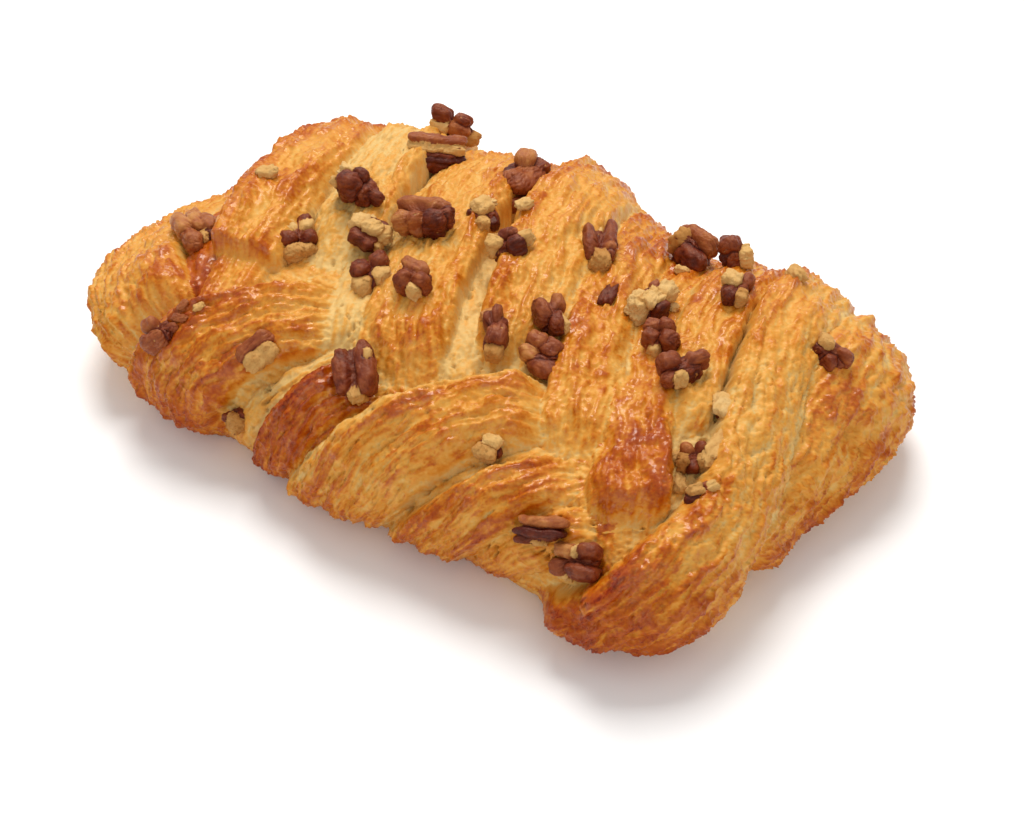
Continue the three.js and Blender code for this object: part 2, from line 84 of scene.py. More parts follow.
# pecan piece: number, middle, lean (way, degrees), heading, size
PECANS = [
  (1, (-55.7, -18.3, 24.5), (-168, 12), 155, (11.5, 7.7, 7.0)),
  (2, (-41.8, -42.0, 22.1), (-122, 44), 42, (8.3, 6.3, 6.0)),
  (3, (-36.0, -11.2, 27.8), (-41, 10), 147, (8.5, 7.5, 6.0)),
  (4, (-32.4, 1.3, 34.7), (-105, 4), 174, (11.8, 7.4, 7.5)),
  (5, (-23.7, -5.5, 31.9), (-23, 8), 15, (8.1, 7.2, 5.5)),
  (6, (-15.9, 1.2, 34.5), (-151, 7), 20, (11.3, 6.6, 6.5)),
  (7, (-17.5, -12.2, 29.7), (-149, 9), 68, (8.3, 8.2, 5.5)),
  (8, (-7.8, -12.2, 33.3), (-112, 6), 174, (8.3, 7.2, 5.5)),
  (9, (-31.2, 21.9, 30.7), (42, 15), 51, (12.1, 5.9, 7.0)),
  (10, (-36.7, 34.1, 28.5), (73, 22), 26, (11.2, 4.0, 6.5)),
  (11, (-13.2, 26.2, 31.7), (50, 13), 93, (11.5, 8.6, 7.5)),
  (12, (-10.5, 21.2, 27.9), (52, 8), 49, (7.7, 4.0, 5.5)),
  (13, (-8.8, 9.8, 33.2), (22, 13), 167, (6.4, 5.8, 5.0)),
  (14, (0.9, 4.3, 34.7), (-149, 18), 38, (9.0, 6.2, 6.0)),
  (15, (11.7, 17.0, 31.7), (31, 11), 126, (11.5, 6.5, 6.0)),
  (16, (22.1, 32.1, 26.9), (88, 15), 163, (9.8, 7.3, 8.0)),
  (17, (31.4, 31.2, 30.6), (135, 15), 135, (5.4, 6.0, 7.0)),
  (18, (38.5, 20.4, 33.2), (53, 3), 105, (7.4, 5.3, 5.0)),
  (19, (26.9, 11.8, 29.8), (50, 5), 83, (10.0, 7.6, 7.0)),
  (20, (33.9, 4.1, 30.5), (-155, 4), 3, (7.4, 6.6, 6.5)),
  (21, (42.4, -1.8, 31.8), (-88, 4), 63, (9.6, 6.1, 6.0)),
  (22, (-4.9, -31.1, 26.4), (-85, 23), 130, (11.7, 7.6, 6.0)),
  (23, (-23.4, -35.9, 23.9), (-61, 49), 84, (7.8, 5.7, 4.5)),
  (24, (-24.7, -41.3, 11.2), (-102, 69), 160, (5.1, 4.8, 4.5)),
  (25, (12.3, -14.1, 32.1), (-92, 13), 112, (10.0, 5.1, 5.5)),
  (26, (17.2, -5.1, 32.7), (-20, 8), 151, (7.6, 6.5, 6.5)),
  (27, (20.6, -11.5, 30.2), (-81, 9), 178, (7.7, 7.5, 6.0)),
  (28, (24.6, -31.4, 25.3), (-75, 19), 99, (4.7, 4.3, 4.0)),
  (29, (39.4, -36.5, 19.2), (-84, 48), 32, (9.9, 4.9, 5.5)),
  (30, (46.7, -36.4, 16.7), (-89, 47), 19, (9.2, 6.8, 6.5)),
  (31, (58.0, 21.6, 27.4), (6, 17), 11, (7.0, 6.2, 5.5)),
  (32, (52.7, -12.7, 25.4), (-54, 7), 38, (5.6, 5.5, 5.0)),
  (33, (51.1, -0.7, 27.8), (-99, 7), 33, (5.4, 4.1, 4.0)),
  (34, (57.9, -18.6, 25.5), (-73, 4), 56, (5.9, 4.0, 4.5)),
]


# ------------------------------------------------------------------- noise
class Noise:
    """Smooth 3-D gradient noise over any coordinates, seeded."""
    def __init__(self, seed):
        rng = np.random.default_rng(seed)
        self.perm = np.concatenate([rng.permutation(256)] * 3)
        g = rng.normal(size=(256, 3)); self.g = g / np.linalg.norm(g, axis=1, keepdims=True)
    def __call__(self, x, y, z=0.0):
        x, y, z = np.broadcast_arrays(np.asarray(x, float), y, z)
        xi, yi, zi = np.floor(x).astype(int), np.floor(y).astype(int), np.floor(z).astype(int)
        fx, fy, fz = x - xi, y - yi, z - zi
        w = lambda t: t * t * t * (t * (t * 6 - 15) + 10)
        wx, wy, wz = w(fx), w(fy), w(fz)
        out = 0
        for i in (0, 1):
            for j in (0, 1):
                for k in (0, 1):
                    h = self.perm[(self.perm[(self.perm[(xi + i) & 255] + yi + j) & 255] + zi + k) & 255]
                    d = self.g[h, 0] * (fx - i) + self.g[h, 1] * (fy - j) + self.g[h, 2] * (fz - k)
                    out = out + d * (wx if i else 1 - wx) * (wy if j else 1 - wy) * (wz if k else 1 - wz)
        return out * 1.6
    def octaves(self, x, y, z=0.0, n=3, gain=0.5):
        return sum(gain ** i * self(x * 2 ** i + 7.3 * i, y * 2 ** i, z * 2 ** i if not np.isscalar(z) else z) for i in range(n))


def smooth(x):
    x = np.clip(x, 0, 1)
    return x * x * (3 - 2 * x)


# -------------------------------------------------- the core's own surface
zf = np.linspace(-8, BULGE_HEIGHT, 61)[:-1]
ph = np.linspace(0, np.pi / 2, 401)
INSET = np.concatenate([UNDERCUT * ((BULGE_HEIGHT - zf) / BULGE_HEIGHT) ** 2, CORE_HALF_WIDTH * (1 - np.abs(np.cos(ph)) ** (2 / CROWN_POWER))])
HEIGHT = np.concatenate([zf, BULGE_HEIGHT + (CORE_HEIGHT - BULGE_HEIGHT) * np.sin(ph) ** (2 / CROWN_POWER)])
RUN = np.concatenate([[0], np.cumsum(np.hypot(np.diff(INSET), np.diff(HEIGHT)))])
RUN -= np.interp(0.0, HEIGHT[:60], RUN[:60])
REACH = RUN[-1]


def corner_power(X, Y):
    r, b = smooth((X + 30) / 60), smooth((Y + 20) / 40)
    return (CORNER['lf'] * (1 - b) + CORNER['lb'] * b) * (1 - r) + (CORNER['rf'] * (1 - b) + CORNER['rb'] * b) * r


def distance_up(X, Y):
    A = np.where(X < 0, CORE_LEFT, CORE_RIGHT) - CORE_HALF_WIDTH
    p = corner_power(X, Y)
    lo, hi = np.full(X.shape, RUN[0]), np.full(X.shape, REACH - 1e-3)
    for _ in range(30):
        m = (lo + hi) / 2
        v = (np.abs(X) / np.maximum(A + REACH - m, 1e-4)) ** p + (np.abs(Y) / np.maximum(REACH - m, 1e-4)) ** p
        lo, hi = np.where(v < 1, m, lo), np.where(v < 1, hi, m)
    return lo


def core_at(X, Y, q=None):
    if q is None: q = distance_up(X, Y)
    H = np.where(X < 0, CORE_LEFT, CORE_RIGHT); A = H - CORE_HALF_WIDTH
    inset, z = np.interp(q, RUN, INSET), np.interp(q, RUN, HEIGHT)
    x = X / (A + REACH - q) * (H - inset)
    y = Y / (REACH - q) * (CORE_HALF_WIDTH - inset)
    y = np.where(y < 0, y * (1 + LEFT_FRONT_SPREAD * smooth((10 - x) / 45)), y)
    x = x * (1 - LEFT_SKEW * np.maximum(0, y - LEFT_SKEW_FROM) * smooth((-x - 15) / 50))
    drop = 1 - LEFT_DROP * smooth((LEFT_DROP_FROM - x) / (CORE_LEFT + LEFT_DROP_FROM))
    z = np.where(z > BULGE_HEIGHT, BULGE_HEIGHT + (z - BULGE_HEIGHT) * drop, z)
    return np.stack([x + CORE_SHIFT[0], y + CORE_SHIFT[1], z], -1)


def normal_at(X, Y, e=0.06):
    n = np.cross(core_at(X + e, Y) - core_at(X - e, Y), core_at(X, Y + e) - core_at(X, Y - e))
    return n / (np.linalg.norm(n, axis=-1, keepdims=True) + 1e-12)


# ------------------------------------------------------------------- strips
def curve_points(path, n=180):
    """Centripetal Catmull-Rom through the path, n points evenly spaced, and each path point's share of the length."""
    P = np.array(path, float)
    E = np.vstack([2 * P[0] - P[1], P, 2 * P[-1] - P[-2]])
    out = []
    for i in range(len(P) - 1):
        a, b, c, d = E[i:i + 4]
        t0, t1, t2 = (np.linalg.norm(b - a) ** .5, np.linalg.norm(c - b) ** .5, np.linalg.norm(d - c) ** .5)
        m1 = ((b - a) / t0 - (c - a) / (t0 + t1) + (c - b) / t1) * t1
        m2 = ((c - b) / t1 - (d - b) / (t1 + t2) + (d - c) / t2) * t1
        s = np.linspace(0, 1, 200, endpoint=(i == len(P) - 2))[:, None]
        out.append((2 * s**3 - 3 * s**2 + 1) * b + (s**3 - 2 * s**2 + s) * m1 + (-2 * s**3 + 3 * s**2) * c + (s**3 - s**2) * m2)
    C = np.vstack(out)
    run = np.concatenate([[0], np.cumsum(np.linalg.norm(np.diff(C, axis=0), axis=1))])
    knots = [run[min(200 * i, len(run) - 1)] / run[-1] for i in range(len(P))]
    t = np.linspace(0, run[-1], n)
    return np.stack([np.interp(t, run, C[:, 0]), np.interp(t, run, C[:, 1])], 1), run[-1], np.array(knots)


def mix(values, u, knots):
    k = knots if len(values) == len(knots) else np.linspace(0, 1, len(values))
    return np.interp(u, k, values)


def smax(a, b, k):
    h = np.maximum(k - np.abs(a - b), 0) / k
    return np.maximum(a, b) + h * h * k * 0.25


big_noise, mid_noise, fine_noise, streak_noise = Noise(11), Noise(23), Noise(37), Noise(53)
fold_noise, tear_noise = Noise(71), Noise(89)

nx, ny = int(180 / STEP) + 1, int(130 / STEP) + 1
gx, gy = np.linspace(-90, 90, nx), np.linspace(-65, 65, ny)
GX, GY = np.meshgrid(gx, gy, indexing='ij')
Q = distance_up(GX.ravel(), GY.ravel()).reshape(GX.shape)
INSIDE = Q > -1.5
X, Y, q = GX[INSIDE], GY[INSIDE], Q[INSIDE]
N_PTS = len(X)
tuck = 0.35 + 0.65 * smooth(q / 10)


def creases(n, sharp=0.16):
    """Narrow valleys where the noise passes through nothing, 0 flat to -1 deep."""
    return -np.exp(-np.abs(n) / sharp)


def terrace(n, steps, rise=0.22):
    """The noise made into flat levels with short steep rises, as thin leaves of dough."""
    m = n * steps
    f = m - np.floor(m)
    return (np.floor(m) + smooth((f - (1 - rise)) / rise)) / steps


height = np.full(N_PTS, 0.0)           # over the core
owner = np.full(N_PTS, -1)
own_u, own_v, own_s, own_d = np.zeros(N_PTS), np.ones(N_PTS), X + 0.8 * Y, q.copy()
tone = np.full(N_PTS, 0.30)
second = np.full(N_PTS, -1.0)
first = np.full(N_PTS, 0.0)
lined = np.zeros(N_PTS)
ragged = 0.55 * mid_noise(X / 2.2, Y / 2.2, 3.0) + 0.35 * fine_noise(X / 0.9, Y / 0.9, 8.0)

for k, (name, path, width, crown, lift, bake) in enumerate(STRIPS + WEBS):
    C, length, knots = curve_points(path)
    T = np.gradient(C, axis=0); T /= np.linalg.norm(T, axis=1, keepdims=True)
    Nrm = np.stack([-T[:, 1], T[:, 0]], 1)
    web = name.startswith('web')
    tilt, sink, pale_left, pale_right = LIE.get(name, (0, 5, 0, 0))
    reach = max(width) / 2 * 1.35
    near = np.nonzero((X > C[:, 0].min() - reach) & (X < C[:, 0].max() + reach) & (Y > C[:, 1].min() - reach) & (Y < C[:, 1].max() + reach))[0]
    x, y = X[near], Y[near]
    best, at = np.full(len(near), 1e9), np.zeros(len(near), int)
    for i in range(0, len(C), 2):
        d2 = (x - C[i, 0]) ** 2 + (y - C[i, 1]) ** 2
        b = d2 < best; best[b] = d2[b]; at[b] = i
    du = (x - C[at, 0]) * T[at, 0] + (y - C[at, 1]) * T[at, 1]
    d = (x - C[at, 0]) * Nrm[at, 0] + (y - C[at, 1]) * Nrm[at, 1]
    s = np.clip(at * length / (len(C) - 1) + du, 0, length)
    u = s / length
    past = np.where((at == len(C) - 1) & (du > 0), du, 0)     # beyond the end
    e = np.clip((s + past - (length - sink)) / sink, 0, 1)
    cap = 1 - smooth(e) * (0.94 if sink > 3 else 0.5)
    half = mix(width, u, knots) / 2 * (1 - 0.25 * e ** 3)
    half = half * (1 + (0.07 if not web else 0.2) * mid_noise.octaves(s / 5.0, np.sign(d) * 3.1 + 9 * k, k * 1.7, 2)) + 0.5 * ragged[near]
    v = np.hypot(d, past * 1.2) / half * np.sign(d + 1e-9)
    ok = np.abs(v) < 1
    near, s, u, d, v, cap, half = near[ok], s[ok], u[ok], d[ok], v[ok], cap[ok], half[ok]
    av = np.abs(v)
    if web:
        form = (1 - av ** 2.0) ** (1 / 1.8)
    else:
        high = v * np.sign(tilt if tilt else 1) > 0      # the side that lies on top is the blunter one
        form = (1 - av ** np.where(high, 7.5, 3.4)) ** (1 / np.where(high, 2.6, 1.8))
    base = (mix(crown, u, knots) * form + mix(lift, u, knots) * form ** 0.3 + tilt * v * form ** 0.5) * cap * tuck[near]
    edge = form ** 0.6
    wander = 1.1 * mid_noise(s / 6 + 3 * k, d / 5, 7.7 * k)
    if web:
        base = base + (0.5 * mid_noise(s / 2.4, d / 1.3, k) + 0.3 * creases(streak_noise(s / 5, (d + wander) / 1.4, k))) * edge
        lines = 0.4 * streak_noise(s / 4, d / 0.8, 3.7 * k)
    else:
        # long folds that run with the strip, creases between them, finer pleats on top
        fold = fold_noise(s / 15 + 5 * k, (d + wander) / 3.2, 2.3 * k)
        pleat = creases(streak_noise(s / 8 + 2 * k, (d + wander) / 1.9, 1.9 * k), 0.13)
        pleat2 = creases(tear_noise(s / 4.5 + 2 * k, (d + 0.6 * wander) / 0.95, 2.9 * k), 0.15)
        patch = smooth(0.5 + 1.3 * mid_noise(s / 9, d / 5, 4.4 * k))
        lump = big_noise(s / 8 + k, d / 6, 5.1 * k)
        lines = streak_noise(s / 7.5 + 3 * k, (d + 0.5 * wander) / 0.6, 3.7 * k)
        leaf = terrace(mid_noise(s / 8 + 6 * k, (d + wander) / 2.6, 6.1 * k) + 0.35 * tear_noise(s / 2.5, d / 1.2, 3.3 * k), 3.2)
        leaf2 = terrace(tear_noise(s / 4 + 4 * k, (d + 0.5 * wander) / 1.3, 8.2 * k), 2.6)
        base = base + (0.85 * fold + 0.75 * lump + 0.62 * pleat * (0.4 + 0.6 * patch) + 0.46 * pleat2 * (0.3 + 0.7 * patch) + 0.22 * lines
                       + 0.62 * leaf * (0.5 + 0.5 * patch) + 0.34 * leaf2 * (1.1 - 0.7 * patch)) * edge * cap ** 0.5
        lines = lines + 1.6 * np.sin(9.0 * leaf) + 1.1 * np.sin(11.0 * leaf2)
        # dough layers showing as low steps down the flank
        layer = base / 0.75 + 0.5 * mid_noise(s / 8, k, 0)
        base = base + 0.16 * np.tanh(2.2 * np.sin(2 * np.pi * layer)) * smooth((av - 0.62) / 0.25) * edge
    base = base - EDGE_DROP
    top = first[near]
    win = base > top
    second[near] = np.where(win, top, np.maximum(second[near], base))
    first[near] = np.where(win, base, top)
    height[near] = smax(height[near], base, 0.3)
    w = near[win]
    owner[w] = k; own_u[w] = u[win]; own_v[w] = v[win]; own_s[w] = s[win]; own_d[w] = (d + wander)[win]
    pale = smooth((v[win] - 0.62) / 0.3) * pale_left + smooth((-v[win] - 0.62) / 0.3) * pale_right
    brow = smooth((v[win] * np.sign(tilt) - 0.35) / 0.25) * smooth((0.97 - v[win] * np.sign(tilt)) / 0.12) * (tilt != 0)
    tone[w] = mix(bake, u[win], knots) - pale + 0.09 * brow
    lined[w] = lines[win]

is_web = owner >= len(STRIPS)
bare = (owner < 0) | is_web
base_at = core_at(X, Y, q)
normal = normal_at(X, Y)
place = base_at + normal * height[:, None]


def blur(values, mm):
    g = np.zeros(GX.shape); g[INSIDE] = values
    w = np.zeros(GX.shape); w[INSIDE] = 1
    r = max(1, int(round(2.6 * mm / STEP))); kx = np.exp(-0.5 * (np.arange(-r, r + 1) * STEP / mm) ** 2); kx /= kx.sum()
    def conv(a):
        for axis in (0, 1):
            m = a.shape[axis] + 2 * r
            f = np.fft.rfft(a, m, axis=axis) * (np.fft.rfft(kx, m)[:, None] if axis == 0 else np.fft.rfft(kx, m)[None, :])
            a = np.fft.irfft(f, m, axis=axis)
            a = a[r:r + GX.shape[0]] if axis == 0 else a[:, r:r + GX.shape[1]]
        return a
    return (conv(g) / np.maximum(conv(w), 1e-6))[INSIDE]


# crust texture: crinkle on the tops, peel, small blisters, pores in pale dough
px, py, pz = place.T
relief = height - blur(height, 4.5)
crest = smooth((relief + 1.2) / 2.6)
open_dough = np.clip(bare * 1.0 + 0.7 * smooth((0.34 - tone) / 0.15), 0, 1)
crinkle = creases(mid_noise(px / 2.3, py / 2.3, pz / 2.3), 0.16) + 0.6 * creases(tear_noise(px / 1.2, py / 1.2, pz / 1.2), 0.18)
dimple = big_noise.octaves(px / 5, py / 5, pz / 5, 2)
peel = fine_noise.octaves(px / 0.95, py / 0.95, pz / 0.95, 2, 0.7)
side = smooth((14 - q) / 10)
pore_field = fine_noise(own_s / 1.5 + 9 + 5 * owner, own_d / 0.8, owner * 2.2) + 0.9 * mid_noise(px / 3.5, py / 3.5, pz / 3.5)
pores = smooth((pore_field - 0.66) / 0.2) * open_dough * (owner >= 0)
grit = tear_noise(px / 0.55, py / 0.55, pz / 0.55 + 7)
flakes = terrace(streak_noise(own_s / 5 + 2 * owner, own_d / 1.0, owner * 2.9) + 0.5 * fine_noise(px / 1.1, py / 1.1, pz / 1.1), 2.4, 0.16)
texture = 0.20 * crinkle * (0.6 + 0.4 * crest) * (1 - 0.5 * open_dough) + 0.30 * dimple + 0.15 * peel + 0.10 * grit - 1.1 * pores + 0.34 * flakes * np.where(owner < 0, 1.2, ~bare)
rng = np.random.default_rng(5)
blister = np.zeros(N_PTS)
pick = rng.choice(N_PTS, 800, replace=False, p=(crest * ~bare) / (crest * ~bare).sum())
for i in pick:
    r, h = rng.uniform(0.35, 1.0) * rng.choice([1, 1, 1.5]), rng.uniform(0.10, 0.34)
    m = (np.abs(X - X[i]) < 2 * r) & (np.abs(Y - Y[i]) < 2 * r)
    a = np.hypot(X[m] - X[i], (Y[m] - Y[i]) * rng.uniform(0.7, 1.4)) / r
    blister[m] = np.maximum(blister[m], h * np.clip(1 - a ** 2.2, 0, 1) ** 0.7)
flank = smooth((34 - q) / 20) * smooth((q - 3) / 5)
height = height + texture * (1 + 0.5 * flank) * (0.45 + 0.55 * smooth(q / 9)) + blister
place = base_at + normal * height[:, None]
place[:, 2] = np.maximum(place[:, 2], 0.0)

# how brown it is baked, with a painted shade line in the creases between strips
relief_fine = height - blur(height, 0.9)
flow = streak_noise(own_s / 10 + owner * 3.0, own_d / 0.9, owner * 1.3) + 0.6 * tear_noise(own_s / 5 + owner * 3.0, own_d / 0.45, owner * 1.7)
spots = smooth((big_noise.octaves(px / 8, py / 8, pz / 8, 3, 0.6) - 0.05) / 0.5) * (tone > 0.36)
bake = tone + 0.05 * np.sin(7.0 * flakes) + 0.06 * np.tanh(relief / 1.4) + 0.10 * np.tanh(relief_fine / 0.25) + 0.13 * spots \
    + 0.07 * big_noise(px / 11 + 4, py / 11, pz / 11) + 0.05 * mid_noise(px / 2.6, py / 2.6, pz / 2.6) \
    + (0.14 + 0.10 * flank) * flow + (0.055 + 0.03 * flank) * lined * (owner >= 0) + 0.04 * peel + 0.03 * grit
junction = smooth((1.4 - (first - second)) / 1.4) * ~bare
bake = bake - 0.19 * junction * smooth((q - 8) / 8)
# painted shade: a thin dark line painted where one strip meets the next, standing for the shadow in that crease
crease_shade = smooth((0.35 - (first - second)) / 0.35) * ~bare * smooth((q - 6) / 8) * smooth(0.6 + 1.6 * mid_noise(px / 6, py / 6, 3 + pz / 6))
bake = bake + 0.44 * crease_shade
bake = bake + 0.05 * side + 0.20 * blister
for cx, cy, r, amount in [(46, -17, 3.0, .30), (46, -24, 6, .12), (59, -44, 9, .04), (61, -28, 6, -.22), (8, -40, 4, -.16), (14, -36, 4, -.12), (72, 8, 6, -.20), (5, -23, 4, -.14), (-53, -40, 6, -.10), (-38, -17, 5, -.06), (50, 4, 4, -.22), (-64, 2, 8, .06), (0, -19.5, 4.5, .20), (24, 27, 5, .34), (19, 28, 4, .30), (52, -6, 5, -.20), (56, -13, 4, -.16), (49, -2, 4, -.2), (53, 34, 5, -.15), (-42, -27, 5, .26), (-38.5, -17.5, 4.5, .14), (0, -23, 6, .12), (36, -33, 4, .18), (-9, -40, 5, .16), (66, 12, 8, .08), (12, -36, 7, .10), (63, -41, 8, .14), (21, 8, 3, .25)]:
    bake = bake + amount * np.exp(-(((X - cx) / r) ** 2 + ((Y - cy) / r) ** 2)) * (0.75 + 0.8 * mid_noise(px / 1.8, py / 1.8, pz / 1.8))
bake = np.minimum(bake, 0.72 + (bake - 0.72) * 0.45)
bake = np.clip(bake - 0.03, 0, 1)


# --------------------------------------------------------------- make meshes
def to_object(name, verts_mm, faces, layers, material, smooth_faces=True):
    me = bpy.data.meshes.new(name)
    v = (np.asarray(verts_mm, float) + SHIFT) * 0.001
    faces = np.asarray(faces)
    me.vertices.add(len(v)); me.vertices.foreach_set('co', v.ravel())
    n = faces.shape[1]
    me.loops.add(faces.size); me.loops.foreach_set('vertex_index', faces.ravel().astype(np.int32))
    me.polygons.add(len(faces)); me.polygons.foreach_set('loop_start', np.arange(0, faces.size, n, dtype=np.int32))
    me.polygons.foreach_set('use_smooth', np.full(len(faces), smooth_faces))
    me.update(calc_edges=True); me.validate()
    for key, values in layers.items():
        a = me.attributes.new(key, 'FLOAT', 'POINT'); a.data.foreach_set('value', np.asarray(values, np.float32))
    o = bpy.data.objects.new(name, me); bpy.context.collection.objects.link(o)
    me.materials.append(material)
    return o


LIGHT, GLARE = 1.14, (0.024, 0.018, 0.010)


def srgb(r, g, b):
    return tuple(((c / 255) / 12.92 if c / 255 <= 0.04045 else ((c / 255 + 0.055) / 1.055) ** 2.4) for c in (r, g, b)) + (1,)


def seen(r, g, b):
    """The surface colour that looks like (r, g, b) in this light."""
    return tuple(max((c - g) / LIGHT, 0.001) for c, g in zip(srgb(r, g, b), GLARE)) + (1,)


def ramp(nodes, stops):
    r = nodes.new('ShaderNodeValToRGB'); el = r.color_ramp.elements
    while len(el) < len(stops): el.new(0.5)
    for e, (pos, col) in zip(el, stops): e.position, e.color = pos, col
    return r


def noise_node(nt, scale, detail=3.0, rough=0.55):
    n = nt.nodes.new('ShaderNodeTexNoise'); n.inputs['Scale'].default_value = scale
    n.inputs['Detail'].default_value = detail; n.inputs['Roughness'].default_value = rough
    return n


def maths(nt, op, a, b=None, clamp=False):
    m = nt.nodes.new('ShaderNodeMath'); m.operation = op; m.use_clamp = clamp
    for i, v in enumerate((a, b)):
        if v is None: continue
        if isinstance(v, (int, float)): m.inputs[i].default_value = v
        else: nt.links.new(v, m.inputs[i])
    return m.outputs[0]


def crust_material():
    mat = bpy.data.materials.new('glazed_crust'); mat.use_nodes = True
    nt = mat.node_tree; bsdf = nt.nodes['Principled BSDF']; L = nt.links
    tc = nt.nodes.new('ShaderNodeTexCoord')
    at = nt.nodes.new('ShaderNodeAttribute'); at.attribute_name = 'bake'
    n1 = noise_node(nt, 1500, 5, 0.7); n2 = noise_node(nt, 420, 4, 0.65)
    for n in (n1, n2): L.new(tc.outputs['Object'], n.inputs['Vector'])
    fac = maths(nt, 'ADD', at.outputs['Fac'], maths(nt, 'MULTIPLY', maths(nt, 'SUBTRACT', n1.outputs['Fac'], 0.5), 0.42))
    fac = maths(nt, 'ADD', fac, maths(nt, 'MULTIPLY', maths(nt, 'SUBTRACT', n2.outputs['Fac'], 0.5), 0.22), clamp=True)
    r = ramp(nt.nodes, [(0.0, seen(230, 192, 122)), (0.2, seen(232, 172, 84)), (0.4, seen(226, 152, 60)), (0.55, seen(211, 124, 36)), (0.7, seen(190, 95, 18)), (0.82, seen(168, 71, 10)), (0.92, seen(136, 48, 10)), (1.0, seen(96, 32, 12))])
    L.new(fac, r.inputs[0]); L.new(r.outputs[0], bsdf.inputs['Base Color'])
    rr = nt.nodes.new('ShaderNodeMapRange'); rr.inputs['To Min'].default_value = 0.46; rr.inputs['To Max'].default_value = 0.24
    L.new(fac, rr.inputs['Value']); L.new(rr.outputs[0], bsdf.inputs['Roughness'])
    bsdf.inputs['Specular IOR Level'].default_value = 0.38
    bsdf.inputs['Specular Tint'].default_value = (1.0, 0.72, 0.36, 1)
    shine = nt.nodes.new('ShaderNodeAttribute'); shine.attribute_name = 'gloss'
    L.new(maths(nt, 'MULTIPLY', shine.outputs['Fac'], 0.5), bsdf.inputs['Coat Weight'])
    bsdf.inputs['Coat Roughness'].default_value = 0.10
    bsdf.inputs['Subsurface Weight'].default_value = 0.05
    bsdf.inputs['Subsurface Radius'].default_value = (1.0, 0.55, 0.25); bsdf.inputs['Subsurface Scale'].default_value = 0.0015
    n3 = noise_node(nt, 2000, 5, 0.7); L.new(tc.outputs['Object'], n3.inputs['Vector'])
    bump = nt.nodes.new('ShaderNodeBump'); bump.inputs['Strength'].default_value = 0.5; bump.inputs['Distance'].default_value = 0.00022
    L.new(n3.outputs['Fac'], bump.inputs['Height']); L.new(bump.outputs[0], bsdf.inputs['Normal'])
    return mat


CRUST = crust_material()

# where the glaze shines: on the tops and in patches
gloss = smooth((bake - 0.22) / 0.35) * (0.25 + 0.75 * smooth(0.5 + 1.8 * mid_noise(px / 5 + 7, py / 5, pz / 5))) * (0.12 + 0.88 * smooth((q - 8) / 14))

# the fine surface, split along the creases between strips
index = np.full(GX.shape, -1); index[INSIDE] = np.arange(N_PTS)
quad = np.stack([index[:-1, :-1], index[1:, :-1], index[1:, 1:], index[:-1, 1:]], -1).reshape(-1, 4)
quad = quad[(quad >= 0).all(1)]
groups = {'crust_left': ('end_left', 'back_1', 'back_2', 'front_1', 'web_0', 'web_1', 'web_5'),
          'crust_middle': ('back_3', 'back_4', 'web_2', 'front_2'),
          'crust_front': ('front_3', 'front_4', 'web_3', 'web_6', 'back_5'),
          'crust_right': ('back_6', 'back_7', 'web_4', 'end_right'),
          'crust_corner': ('corner',)}
names = [s[0] for s in STRIPS + WEBS]
group_of = np.zeros(len(names) + 1, int)
for gi, members in enumerate(groups.values()):
    for m in members: group_of[names.index(m)] = gi
gv = group_of[owner]
loose = owner < 0
gv[loose] = np.clip(np.digitize(X[loose], [-20, 12, 40, 60]), 0, 4)
gv[loose & (X > 60)] = 3
gq = gv[quad[:, 0]]
dough_pieces = []
for gi, gname in enumerate(groups):
    f = quad[gq == gi]
    if not len(f): continue
    used, inv = np.unique(f, return_inverse=True)
    o = to_object(gname, place[used], inv.reshape(f.shape), {'bake': bake[used], 'gloss': gloss[used]}, CRUST)
    dough_pieces.append(o)
    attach(o, 'root'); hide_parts('pastry')

# the flat underside, from the rim of the fine surface
edges = np.sort(np.concatenate([quad[:, [0, 1]], quad[:, [1, 2]], quad[:, [2, 3]], quad[:, [3, 0]]]), axis=1)
key = edges[:, 0].astype(np.int64) * N_PTS + edges[:, 1]
uniq, count = np.unique(key, return_counts=True)
rim = uniq[count == 1]
nxt = {}
for kk in rim:
    a, b = int(kk // N_PTS), int(kk % N_PTS)
    nxt.setdefault(a, []).append(b); nxt.setdefault(b, []).append(a)
start = max(nxt, key=lambda i: X[i]); loop = [start]; prev, cur = None, start
while True:
    step = [b for b in nxt[cur] if b != prev]
    prev, cur = cur, step[0]
    if cur == start: break
    loop.append(cur)
rimv = place[loop].copy(); rimv[:, 2] = 0.0
centre = rimv.mean(0)
rings = [rimv] + [centre + (rimv - centre) * f for f in (0.97, 0.9, 0.7, 0.4, 0.1)]
for i, r in enumerate(rings[1:]): r[:, 2] = 0.0
m = len(loop)
bv = np.vstack(rings + [centre[None]])
bv[-1, 2] = 0.0
bf = []
for i in range(len(rings) - 1):
    a = np.arange(m); b = (a + 1) % m
    bf.append(np.stack([i * m + a, i * m + b, (i + 1) * m + b, (i + 1) * m + a], 1))
bf = np.vstack(bf)
area = 0.5 * np.sum(rimv[:, 0] * np.roll(rimv[:, 1], -1) - np.roll(rimv[:, 0], -1) * rimv[:, 1])
if area > 0: bf = bf[:, ::-1]
tris = np.vstack([bf[:, [0, 1, 2]], bf[:, [0, 2, 3]]])
a = np.arange(m); b = (a + 1) % m; last = (len(rings) - 1) * m
fan = np.stack([last + a, last + b, np.full(m, len(bv) - 1)], 1)
if area > 0: fan = fan[:, ::-1]
tris = np.vstack([tris, fan])
under = to_object('crust_base', bv, tris, {'bake': np.clip(0.72 + 0.2 * big_noise(bv[:, 0] / 6, bv[:, 1] / 6, 0), 0, 1), 'gloss': np.zeros(len(bv))}, CRUST, False)
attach(under, 'root'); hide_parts('pastry')


